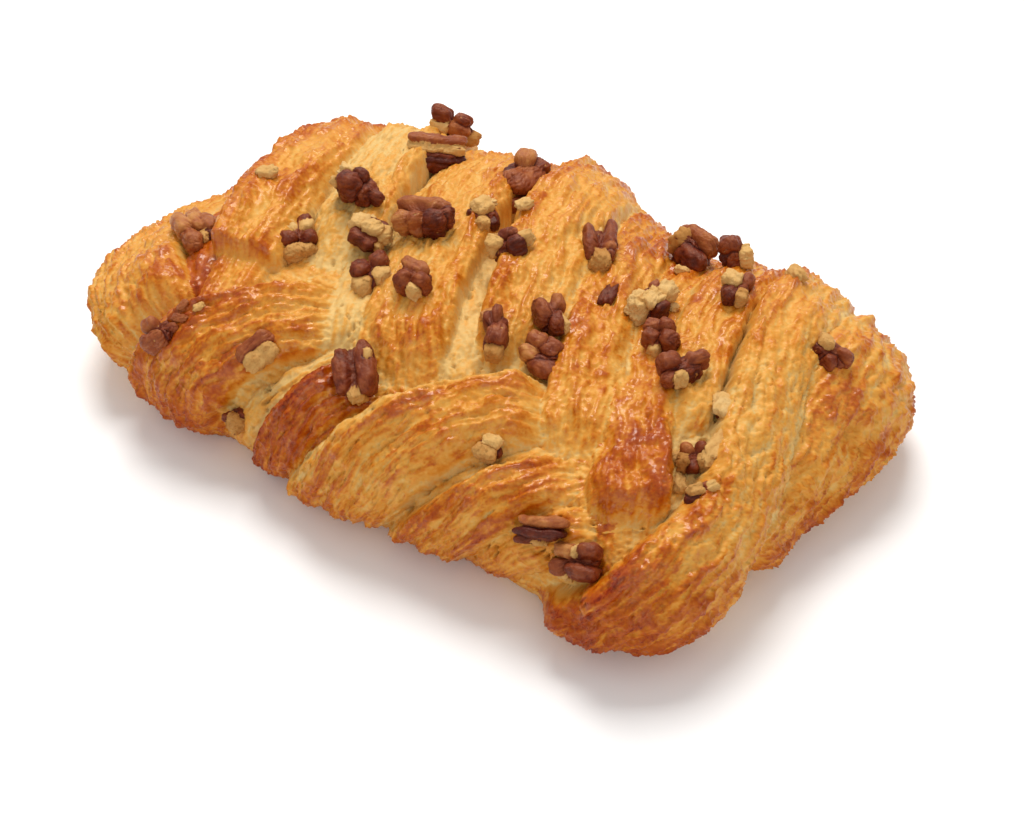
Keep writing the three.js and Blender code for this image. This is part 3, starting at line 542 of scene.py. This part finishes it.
# --------------------------------------------------------------- the pecans
def pecan_material():
    mat = bpy.data.materials.new('toasted_pecan'); mat.use_nodes = True
    nt = mat.node_tree; bsdf = nt.nodes['Principled BSDF']; L = nt.links
    tc = nt.nodes.new('ShaderNodeTexCoord')
    skin = nt.nodes.new('ShaderNodeAttribute'); skin.attribute_name = 'skin'
    dark = nt.nodes.new('ShaderNodeAttribute'); dark.attribute_name = 'toast'
    n1 = noise_node(nt, 1400, 4); n2 = noise_node(nt, 520, 4, 0.65)
    for n in (n1, n2): L.new(tc.outputs['Object'], n.inputs['Vector'])
    edge = maths(nt, 'ADD', skin.outputs['Fac'], maths(nt, 'MULTIPLY', maths(nt, 'SUBTRACT', n1.outputs['Fac'], 0.5), 0.35))
    mask = nt.nodes.new('ShaderNodeMapRange'); mask.inputs['From Min'].default_value = 0.44; mask.inputs['From Max'].default_value = 0.56
    L.new(edge, mask.inputs['Value'])
    t = maths(nt, 'ADD', dark.outputs['Fac'], maths(nt, 'MULTIPLY', maths(nt, 'SUBTRACT', n2.outputs['Fac'], 0.5), 0.45), clamp=True)
    r_skin = ramp(nt.nodes, [(0.0, seen(206, 142, 78)), (0.25, seen(178, 106, 56)), (0.5, seen(152, 80, 44)), (0.75, seen(122, 56, 32)), (1.0, seen(86, 34, 18))])
    r_flesh = ramp(nt.nodes, [(0.0, seen(240, 204, 142)), (0.35, seen(222, 174, 104)), (0.7, seen(192, 134, 68)), (1.0, seen(146, 88, 40))])
    L.new(t, r_skin.inputs[0]); L.new(t, r_flesh.inputs[0])
    mx = nt.nodes.new('ShaderNodeMix'); mx.data_type = 'RGBA'
    L.new(mask.outputs[0], mx.inputs['Factor']); L.new(r_flesh.outputs[0], mx.inputs['A']); L.new(r_skin.outputs[0], mx.inputs['B'])
    L.new(mx.outputs['Result'], bsdf.inputs['Base Color'])
    rr = nt.nodes.new('ShaderNodeMapRange'); rr.inputs['To Min'].default_value = 0.7; rr.inputs['To Max'].default_value = 0.42
    L.new(mask.outputs[0], rr.inputs['Value']); L.new(rr.outputs[0], bsdf.inputs['Roughness'])
    bsdf.inputs['Specular IOR Level'].default_value = 0.4
    bsdf.inputs['Specular Tint'].default_value = (1.0, 0.8, 0.6, 1)
    n3 = noise_node(nt, 2200, 4, 0.6); L.new(tc.outputs['Object'], n3.inputs['Vector'])
    bump = nt.nodes.new('ShaderNodeBump'); bump.inputs['Strength'].default_value = 0.7; bump.inputs['Distance'].default_value = 0.0003
    L.new(n3.outputs['Fac'], bump.inputs['Height']); L.new(bump.outputs[0], bsdf.inputs['Normal'])
    return mat


PECAN = pecan_material()
# the lobes of each piece, in shares of its half length, half width and half
# height: middle x, y, z, radius x, y, z, skin (1) or broken flesh (0), toast
SHAPES = {
  1: [(0.31, 0.47, 0.25, 0.55, 0.42, 0.85, 1, 0.12), (-0.47, 0.41, 0, 0.5, 0.45, 0.8, 1, 0.35), (0.3, -0.2, 0.6, 0.6, 0.35, 0.4, 1, 0.08), (-0.15, -0.65, 0.5, 0.5, 0.35, 0.5, 1, 0.25), (-0.59, -0.53, 0, 0.4, 0.35, 0.6, 1, 0.95), (-0.55, -0.17, 0, 0.3, 0.25, 0.5, 0, 0.5)],
  2: [(-0.17, -0.45, 0.1, 0.75, 0.5, 0.7, 1, 0.4), (-0.14, 0.64, 0.35, 0.4, 0.5, 0.5, 1, 0.3), (0.79, 0.05, -0.1, 0.3, 0.35, 0.4, 1, 0.5)],
  3: [(-0.07, 0.52, 0.3, 0.35, 0.42, 0.7, 1, 0.7), (0.74, 0.34, 0.1, 0.4, 0.4, 0.6, 0, 0.3), (-0.33, -0.38, 0.3, 0.38, 0.42, 0.75, 1, 0.75), (0.42, -0.48, 0.2, 0.3, 0.38, 0.7, 0, 0.35), (0.84, -0.49, 0.3, 0.3, 0.36, 0.6, 1, 0.7), (-0.79, 0.16, 0, 0.35, 0.75, 0.7, 0, 0.6)],
  4: [(-0.02, 0.54, 0.2, 0.5, 0.6, 0.85, 1, 0.75), (0.36, 0.04, 0.55, 0.32, 0.3, 0.38, 0, 0.2), (-0.07, -0.22, 0.5, 0.3, 0.35, 0.5, 1, 0.8), (0.28, 0.82, 0.35, 0.35, 0.22, 0.3, 0, 0.35), (-0.35, 0.1, -0.05, 0.22, 0.3, 0.4, 1, 0.7), (-0.84, -0.04, -0.2, 0.26, 0.34, 0.42, 1, 0.75)],
  5: [(-0.53, 0.19, 0.2, 0.4, 0.4, 0.5, 0, 0.25), (0.59, 0.06, 0.1, 0.4, 0.4, 0.5, 0, 0.35), (0.17, -0.06, 0.4, 0.5, 0.3, 0.45, 0, 0.3), (-0.23, -0.36, -0.3, 0.45, 0.35, 0.5, 1, 0.8), (0.5, -0.4, -0.2, 0.35, 0.3, 0.4, 0, 0.4)],
  6: [(-0.14, 0.56, 0.35, 0.98, 0.38, 0.55, 1, 0.32), (-0.7, -0.53, 0, 0.26, 0.5, 0.7, 1, 0.15), (-0.18, -0.53, 0, 0.28, 0.5, 0.75, 1, 0.35), (0.46, -0.45, 0.05, 0.38, 0.55, 0.85, 1, 0.8), (0.83, 0.07, 0.2, 0.2, 0.5, 0.6, 1, 0.7)],
  7: [(-0.44, 0.13, 0.35, 0.5, 0.38, 0.55, 1, 0.65), (0.6, 0.17, 0.35, 0.5, 0.38, 0.55, 1, 0.6), (-0.64, -0.31, -0.2, 0.5, 0.45, 0.6, 0, 0.4), (0.25, -0.55, -0.1, 0.5, 0.45, 0.6, 0, 0.35)],
  8: [(0, 0.64, 0.1, 0.42, 0.5, 0.75, 1, 0.6), (-0.72, 0.09, 0.1, 0.42, 0.5, 0.7, 1, 0.55), (-0.66, 0.6, -0.1, 0.35, 0.35, 0.5, 0, 0.35), (0.19, -0.49, 0.25, 0.75, 0.4, 0.4, 1, 0.35)],
  9: [(0.07, 0.45, 0.75, 1, 0.5, 0.25, 1, 0.4), (0.02, 0.17, 0.35, 0.98, 0.62, 0.3, 0, 0.3), (-0.03, -0.2, 0, 0.97, 0.75, 0.22, 1, 1), (-0.05, -0.29, -0.35, 0.95, 0.85, 0.35, 1, 0.7)],
  10: [(-0.54, -0.24, 0.5, 0.42, 0.9, 0.42, 1, 0.65), (0.29, -0.01, 0.5, 0.36, 0.8, 0.35, 1, 0.55), (-0.41, -0.24, -0.1, 0.45, 0.9, 0.4, 0, 0.2), (0.27, -0.29, 0, 0.5, 0.85, 0.45, 1, 0.3), (0.84, 0.22, -0.3, 0.3, 0.8, 0.4, 0, 0.6)],
  11: [(-0.24, -0.34, 0, 0.9, 0.8, 0.6, 1, 0.35), (0.28, 0.21, 0.7, 0.4, 0.45, 0.4, 1, 0.1), (0.62, -0.44, 0.2, 0.4, 0.5, 0.5, 1, 0.6), (-0.74, -0.16, -0.3, 0.4, 0.4, 0.5, 1, 0.95)],
  12: [(-0.08, -0.24, 0.35, 0.9, 0.9, 0.5, 1, 0.5), (-0.12, -0.44, -0.4, 0.6, 0.7, 0.4, 0, 0.4)],
  13: [(0.5, -0.05, 0.3, 0.6, 0.6, 0.5, 0, 0.3), (-0.41, 0.43, -0.05, 0.5, 0.5, 0.5, 0, 0.4), (0.7, 0.42, -0.2, 0.3, 0.4, 0.5, 1, 0.8), (-0.76, -0.04, 0, 0.3, 0.35, 0.45, 1, 0.85)],
  14: [(0.37, -0.54, 0.1, 0.4, 0.6, 0.6, 1, 0.8), (-0.52, 0.05, 0.1, 0.4, 0.7, 0.6, 0, 0.35), (0, 0.26, 0.5, 0.5, 0.4, 0.35, 1, 0.6), (0.73, -0.09, 0.2, 0.35, 0.5, 0.4, 0, 0.35)],
  15: [(-0.01, 0.67, 0.2, 0.8, 0.34, 0.8, 1, 0.5), (0.19, -0.52, 0.3, 0.95, 0.36, 0.8, 1, 0.5), (-0.74, 0, 0, 0.4, 0.6, 0.7, 0, 0.6), (0.64, 0.05, -0.2, 0.5, 0.25, 0.4, 0, 0.2), (-0.35, -0.52, 0.35, 0.3, 0.34, 0.7, 1, 0.1)],
  16: [(0.02, -0.28, 0.35, 1, 0.5, 0.5, 1, 0.32), (-0.19, 0.54, -0.15, 0.95, 0.6, 0.5, 1, 0.7), (0.44, 0.53, 0.1, 0.35, 0.6, 0.6, 0, 0.6)],
  17: [(0.24, 0.23, 0.35, 0.9, 0.65, 0.6, 1, 0.65), (0.04, 0.36, -0.1, 0.7, 0.5, 0.5, 1, 0.9), (-0.24, -0.52, -0.05, 0.8, 0.42, 0.55, 0, 0.35)],
  18: [(0.16, 0.33, 0.3, 0.5, 0.6, 0.5, 0, 0.3), (0.57, -0.45, 0.1, 0.5, 0.4, 0.5, 1, 0.5), (-0.69, 0.04, -0.05, 0.45, 0.5, 0.55, 1, 0.8), (-0.67, -0.56, 0, 0.4, 0.4, 0.5, 0, 0.6)],
  19: [(-0.59, 0.06, 0, 0.55, 0.6, 0.7, 0, 0.25), (0.48, -0.23, 0.3, 0.45, 0.55, 0.5, 0, 0.3), (-0.25, -0.79, -0.05, 0.4, 0.35, 0.6, 1, 0.85), (-0.29, -0.23, 0.45, 0.6, 0.5, 0.3, 0, 0.3), (0.32, 0.21, 0.5, 0.25, 0.3, 0.35, 1, 0.5), (-0.79, 0.38, -0.4, 0.35, 0.4, 0.4, 1, 0.9)],
  20: [(-0.47, 0.05, 0.35, 0.45, 0.5, 0.5, 1, 0.45), (0.18, 0.43, 0.3, 0.42, 0.5, 0.55, 1, 0.6), (-0.26, -0.53, 0.05, 0.45, 0.45, 0.6, 1, 0.6), (0.66, -0.23, 0.1, 0.48, 0.5, 0.6, 1, 0.65), (0.09, -0.74, -0.25, 0.4, 0.4, 0.4, 0, 0.4)],
  21: [(-0.42, 0.46, 0.2, 0.5, 0.6, 0.7, 1, 0.55), (0.66, 0.07, 0.15, 0.48, 0.5, 0.65, 1, 0.5), (-0.52, -0.26, -0.1, 0.45, 0.5, 0.5, 1, 0.5), (-0.32, -0.62, -0.1, 0.3, 0.35, 0.5, 0, 0.4), (0.19, -0.4, -0.2, 0.4, 0.35, 0.4, 0, 0.5)],
  22: [(-0.04, 0.54, 0.1, 0.88, 0.42, 0.8, 1, 0.65), (-0.09, -0.55, 0.15, 0.95, 0.46, 0.85, 1, 0.6), (0.25, -0.73, 0.3, 0.25, 0.25, 0.75, 0, 0.3), (-0.93, -0.01, -0.1, 0.2, 0.5, 0.5, 0, 0.5)],
  23: [(0.01, -0.32, 0.2, 0.85, 0.75, 0.6, 0, 0.45), (0.05, 0.39, 0, 0.9, 0.75, 0.7, 1, 0.4)],
  24: [(-0.33, 0.08, 0.2, 0.8, 0.8, 0.6, 0, 0.6), (0.63, 0.19, 0.1, 0.4, 0.4, 0.7, 1, 0.6), (-0.41, -0.84, -0.1, 0.5, 0.3, 0.5, 1, 0.7)],
  25: [(0.46, 0.74, 0.2, 0.35, 0.4, 0.6, 1, 0.7), (0.76, 0.21, 0.2, 0.38, 0.4, 0.6, 1, 0.6), (-0.27, -0.29, 0.15, 0.5, 0.85, 0.7, 1, 0.6), (-0.82, -0.32, -0.1, 0.3, 0.7, 0.5, 0, 0.7)],
  26: [(0.08, 0.52, 0.25, 0.7, 0.5, 0.8, 1, 0.55), (0.43, -0.74, 0.2, 0.45, 0.4, 0.6, 1, 0.3), (-0.59, 0, 0.05, 0.55, 0.5, 0.7, 1, 0.65), (-0.64, -0.52, -0.1, 0.5, 0.25, 0.5, 0, 0.35)],
  27: [(0.39, -0.23, 0.4, 0.45, 0.4, 0.5, 1, 0.35), (-0.17, -0.29, 0.2, 0.4, 0.5, 0.6, 1, 0.55), (0.4, 0.39, 0.1, 0.45, 0.4, 0.5, 1, 0.1), (-0.32, 0.47, -0.2, 0.6, 0.55, 0.5, 1, 0.5)],
  28: [(0.35, -0.12, 0.3, 0.7, 0.65, 0.6, 0, 0.35), (-0.54, 0, 0.1, 0.6, 0.75, 0.7, 0, 0.6)],
  29: [(0.16, 0.66, 0.2, 0.95, 0.42, 0.7, 1, 0.2), (0.05, -0.14, 0.3, 0.97, 0.38, 0.7, 1, 0.9), (-0.65, -0.79, 0, 0.35, 0.35, 0.6, 1, 0.6), (-0.22, -0.8, -0.2, 0.5, 0.3, 0.4, 0, 0.5)],
  30: [(-0.47, 0.41, 0.15, 0.45, 0.45, 0.7, 1, 0.15), (0.46, 0.67, 0.15, 0.45, 0.42, 0.75, 1, 0.6), (-0.57, -0.53, 0.1, 0.4, 0.45, 0.75, 1, 0.5), (0.46, -0.46, 0.2, 0.62, 0.45, 0.85, 1, 0.65), (0, 0.47, 0.25, 0.14, 0.35, 0.55, 0, 0.3), (-0.29, -0.91, 0, 0.2, 0.2, 0.5, 0, 0.4)],
  31: [(-0.53, 0.12, 0.3, 0.45, 0.5, 0.5, 0, 0.5), (-0.72, -0.24, 0, 0.3, 0.4, 0.5, 1, 0.8), (0.04, -0.69, -0.1, 0.4, 0.45, 0.55, 1, 0.65), (0.53, 0.06, 0.15, 0.45, 0.5, 0.6, 1, 0.55)],
  32: [(-0.43, 0.35, 0.25, 0.42, 0.42, 0.6, 1, 0.2), (0.44, 0.44, 0.25, 0.4, 0.42, 0.6, 1, 0.55), (-0.66, -0.39, 0, 0.4, 0.42, 0.6, 0, 0.7), (0.52, -0.43, 0.05, 0.4, 0.42, 0.65, 0, 0.5), (-0.13, -0.77, -0.1, 0.45, 0.3, 0.5, 1, 0.7)],
  33: [(-0.18, -0.05, 0.25, 0.8, 0.7, 0.5, 0, 0.3), (0.71, -0.08, 0, 0.4, 0.5, 0.5, 0, 0.4), (-0.57, -0.48, -0.2, 0.25, 0.35, 0.4, 1, 0.8)],
  34: [(-0.3, -0.25, 0.2, 0.5, 0.5, 0.5, 0, 0.6), (-0.44, -0.55, -0.2, 0.6, 0.5, 0.5, 1, 0.9), (0.62, -0.2, 0.1, 0.35, 0.5, 0.5, 0, 0.4)],
}


def pecan_shape(number, size):
    rng = np.random.default_rng(100 + number)
    nu, nv = ((96, 58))
    th = np.linspace(0, np.pi, nv); al = np.linspace(0, 2 * np.pi, nu, endpoint=False)
    TH, AL = np.meshgrid(th[1:-1], al, indexing='ij')
    D = np.stack([np.cos(TH), np.sin(TH) * np.cos(AL), np.sin(TH) * np.sin(AL)], -1).reshape(-1, 3)
    D = np.vstack([[1, 0, 0], D, [-1, 0, 0]])
    wob = Noise(200 + number)
    half = np.array(size) / 2
    bend = np.stack([wob(D[:, 0] * 1.7 + 3 * j, D[:, 1] * 1.7, D[:, 2] * 1.7) for j in range(3)], -1) * 0.10
    lobes = [((0, 0, -.2), (.8, .8, .62), 1, .7)] + [(l[:3], l[3:6], l[6], l[7]) for l in SHAPES[number]]
    steps = np.linspace(0.06, 1.5, 49)
    far = np.zeros((len(lobes), len(D)))
    for i, (c, r, sk, to) in enumerate(lobes):
        c, r = np.array(c), np.array(r) * rng.uniform(0.95, 1.05, 3)
        p = 2.9 if sk else 3.6                            # blunt-cornered lobes
        best = np.zeros(len(D))
        P = D[None] * steps[:, None, None] + bend[None]
        f = (np.abs((P - c) / r) ** p).sum(-1) - 1
        inside = f < 0
        last = np.where(inside.any(0), len(steps) - 1 - inside[::-1].argmax(0), -1)
        ok = last >= 0
        lo = np.clip(last, 0, len(steps) - 2)
        f0, f1 = f[lo, np.arange(len(D))], f[lo + 1, np.arange(len(D))]
        t = steps[lo] + (steps[1] - steps[0]) * np.clip(f0 / (f0 - f1 + 1e-9), 0, 1)
        far[i] = np.where(ok, t, 0.05)
    order = np.argsort(-far, axis=0)
    top, below = np.take_along_axis(far, order[:1], 0)[0], np.take_along_axis(far, order[1:2], 0)[0]
    R = np.maximum(smax(top, below, 0.05), 0.45)
    info = np.array([(l[2], l[3]) for l in lobes])
    sk, toast = info[order[0], 0], info[order[0], 1]
    groove = np.exp(-((top - below) / 0.05) ** 2) * (top > 0.3)
    P = D * R[:, None]
    P = P / np.abs(P).max(0) * half * 1.08
    k = min(size) / 6.0
    # skin: rounded bulges across each lobe and fine ridges along it
    bulge = wob(P[:, 0] / 1.5 + 3, P[:, 1] / 2.4, P[:, 2] / 2.4)
    ridge = creases(wob(P[:, 0] / 3.2 + 11, P[:, 1] / 0.8, P[:, 2] / 0.8), 0.2)
    rough = wob.octaves(P[:, 0] / 0.9 + 5, P[:, 1] / 0.9, P[:, 2] / 0.9, 3, 0.65)
    chip = wob(P[:, 0] / 1.3 + 17, P[:, 1] / 1.3, P[:, 2] / 1.3)
    skin = np.clip(smooth((sk - 0.5 + 0.42 * rough + 0.30 * chip) / 0.25 + 0.5), 0, 1)
    jag = 0.45 * np.round(chip * 3) / 3 + 0.30 * rough + 0.25 * creases(chip + 0.3 * rough, 0.12)
    move = skin * (0.26 * bulge + 0.24 * ridge + 0.08 * rough) + (1 - skin) * 0.9 * jag - 0.30 * groove
    P = P + D * (move * k)[:, None]
    toast = toast + 0.35 * groove - 0.16 * bulge * skin - 0.18 * ridge * skin + 0.18 * chip * (1 - skin) - 0.25 * jag * (1 - skin) + 0.10 * rough + rng.uniform(-0.05, 0.05)
    toast = np.clip(toast, 0, 1)
    n = nu
    i = np.arange(nv - 3)[:, None] * n + np.arange(n)[None, :] + 1
    right = np.arange(nv - 3)[:, None] * n + (np.arange(n)[None, :] + 1) % n + 1
    q4 = np.stack([i, i + n, right + n, right], -1).reshape(-1, 4)
    t3 = np.vstack([q4[:, [0, 1, 2]], q4[:, [0, 2, 3]],
                    np.stack([np.zeros(n, int), 1 + np.arange(n), 1 + (np.arange(n) + 1) % n], 1),
                    np.stack([np.full(n, len(D) - 1), 1 + (nv - 3) * n + (np.arange(n) + 1) % n, 1 + (nv - 3) * n + np.arange(n)], 1)])
    return P, t3, skin, toast


def placed(points, at, lean, heading):
    way, tilt, turn = np.radians([lean[0], lean[1], heading])
    up = np.array([np.sin(tilt) * np.cos(way), np.sin(tilt) * np.sin(way), np.cos(tilt)])
    ahead = np.array([np.cos(turn), np.sin(turn), 0.0]); ahead -= up * (ahead @ up); ahead /= np.linalg.norm(ahead)
    return points @ np.stack([ahead, np.cross(up, ahead), up]) + np.array(at)


def ball(nu, nv):
    """Directions over a sphere with its two poles, and its triangles."""
    th = np.linspace(0, np.pi, nv + 1)[1:-1]; ph_ = np.linspace(0, 2 * np.pi, nu, endpoint=False)
    TH, PH = np.meshgrid(th, ph_, indexing='ij')
    d = np.stack([np.sin(TH) * np.cos(PH), np.sin(TH) * np.sin(PH), np.cos(TH)], -1).reshape(-1, 3)
    d = np.vstack([[0, 0, 1.0], d, [0, 0, -1.0]])
    f = []
    j = np.arange(nu); k = (j + 1) % nu
    f.append(np.stack([np.zeros(nu, int), 1 + j, 1 + k], 1))
    for i in range(nv - 2):
        a, b = 1 + i * nu, 1 + (i + 1) * nu
        f.append(np.stack([a + j, b + j, b + k], 1)); f.append(np.stack([a + j, b + k, a + k], 1))
    last = 1 + (nv - 2) * nu
    f.append(np.stack([last + j, np.full(nu, len(d) - 1), last + k], 1))
    return d, np.vstack(f)


for number, at, lean, heading, size in PECANS:
    pts, faces, skin, toast = pecan_shape(number, size)
    o = to_object('pecan_fine_%02d' % number, placed(pts, at, lean, heading), faces, {'skin': skin, 'toast': toast}, PECAN)
    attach(o, 'root'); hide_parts('pecan_%02d' % number)


# bits too small to be pieces of their own: place, heading, size, skin, toast
BITS = [
  ((-48.4, -4.9, 34.0), 40, (4.2, 2.6, 2.2), 0, .35), ((42.6, 33.6, 30.6), 150, (3.8, 2.8, 2.4), 0, .45), ((8.5, -10.4, 31.6), 60, (3.4, 2.4, 1.6), 1, .10),
  ((19.6, 8.0, 30.4), 105, (5.6, 2.6, 2.0), 1, .85), ((-39.8, -39.0, 25.7), 20, (3.0, 1.6, 1.2), 1, .45), ((-41.0, -36.5, 26.4), 80, (2.4, 1.4, 1.0), 1, .40),
  ((50.6, -1.6, 28.6), 110, (4.8, 3.2, 2.0), 0, .25), ((54.2, -9.4, 27.0), 98, (7.6, 3.0, 1.3), 0, .42), ((51.4, -14.6, 26.4), 60, (3.0, 2.0, 1.6), 0, .50),
  ((53.8, -18.6, 25.2), 130, (3.4, 2.2, 1.8), 0, .38), ((-6.6, 19.2, 30.4), 70, (3.2, 2.2, 1.8), 0, .30), ((-12.6, 15.2, 31.6), 20, (2.6, 1.8, 1.5), 0, .25),
  ((-26.0, -2.0, 32.0), 150, (2.6, 1.6, 1.4), 0, .20), ((30.2, 12.6, 30.8), 15, (2.8, 2.0, 1.6), 0, .20), ((-38.4, -34.6, 26.4), 60, (2.2, 1.4, 1.1), 0, .40),
  ((47.6, -38.6, 19.2), 100, (2.4, 1.6, 1.4), 0, .30), ((-9.0, -30.4, 26.0), 70, (2.2, 1.2, 1.0), 0, .15), ((24.0, 25.0, 28.0), 30, (2.6, 1.8, 1.5), 0, .35),
]
LOOK = (np.array([176.018, -218.923, 250.710]) - np.array([15.865, -14.023, 15.0])); LOOK = LOOK / np.linalg.norm(LOOK)
bit_points, bit_faces, bit_skin, bit_tone = [], [], [], []
for n, (at, heading, size, skin_on, tint) in enumerate(BITS):
    # down to the fine surface, straight along the line of sight
    rel = place - (np.array(at) + 6 * LOOK)
    along = rel @ LOOK
    off = np.linalg.norm(rel - along[:, None] * LOOK, axis=1)
    close = np.nonzero(off < 0.7)[0]
    spot = close[np.argmax(along[close])]
    dirs, faces = ball(28, 18)
    half_size = np.array(size) / 2
    lump = 1 + 0.30 * mid_noise(*(dirs.T * 1.9 + n * 5.0)) + 0.16 * fine_noise(*(dirs.T * 4.0 + n * 3.0))
    box = (np.abs(dirs) ** 3.2).sum(1) ** (-1 / 3.2)
    pts = dirs * (box * lump)[:, None] * half_size
    up = normal[spot] / np.linalg.norm(normal[spot])
    a = math.radians(heading); t = np.array([math.cos(a), math.sin(a), 0.0]); t = t - (t @ up) * up; t /= np.linalg.norm(t)
    pts = place[spot] + up * size[2] * 0.08 + pts[:, :1] * t + pts[:, 1:2] * np.cross(up, t) + pts[:, 2:] * up
    tone_here = np.clip(tint + 0.12 * mid_noise(*(dirs.T * 3.0 + n)), 0, 1)
    bit_faces.append(faces + sum(len(b) for b in bit_points)); bit_points.append(pts)
    bit_skin.append(np.full(len(pts), float(skin_on))); bit_tone.append(tone_here)
bits = to_object('pecan_bits', np.vstack(bit_points), np.vstack(bit_faces), {'skin': np.concatenate(bit_skin), 'toast': np.concatenate(bit_tone)}, PECAN)
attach(bits, 'root')


# ------------------------------------------------- floor, light and camera
def plain_material(name, colour, roughness):
    mat = bpy.data.materials.new(name); mat.use_nodes = True
    bsdf = mat.node_tree.nodes['Principled BSDF']
    bsdf.inputs['Base Color'].default_value = colour; bsdf.inputs['Roughness'].default_value = roughness
    return mat


bpy.ops.mesh.primitive_plane_add(size=6, location=(0, 0, 0))
floor = bpy.context.object; floor.name = 'floor'
floor.data.materials.append(plain_material('pale_floor', (0.93, 0.93, 0.93, 1), 0.7))

scene = bpy.context.scene
world = bpy.data.worlds.new('soft_room'); scene.world = world; world.use_nodes = True
bg = world.node_tree.nodes['Background']
bg.inputs['Color'].default_value = (1.0, 0.99, 0.975, 1); bg.inputs['Strength'].default_value = 0.63


def soft_light(name, place_m, aim_m, size, power, colour=(1, 1, 1)):
    data = bpy.data.lights.new(name, 'AREA'); data.shape = 'SQUARE'; data.size = size; data.energy = power; data.color = colour
    o = bpy.data.objects.new(name, data); bpy.context.collection.objects.link(o)
    o.location = place_m
    o.rotation_euler = (Vector(aim_m) - Vector(place_m)).to_track_quat('-Z', 'Y').to_euler()
    return o


soft_light('key', (-0.25, 0.30, 0.75), (0, 0, 0.01), 0.42, 6.1, (1.0, 0.985, 0.96))
soft_light('fill', (0.7, -0.75, 0.6), (0, 0, 0.01), 0.7, 2.2, (1.0, 0.99, 0.98))

CAM = (np.array([176.018, -218.923, 250.710]) + SHIFT) * 0.001
AIM = (np.array([15.865, -14.023, 15.0]) + SHIFT) * 0.001
cam_data = bpy.data.cameras.new('view'); cam_data.lens = 70.3125; cam_data.sensor_width = 36.0
cam = bpy.data.objects.new('view', cam_data); bpy.context.collection.objects.link(cam)
cam.location = CAM
cam.rotation_euler = (Vector(AIM) - Vector(CAM)).to_track_quat('-Z', 'Y').to_euler()
scene.camera = cam
scene.view_settings.view_transform = 'Standard'
scene.view_settings.look = 'None'
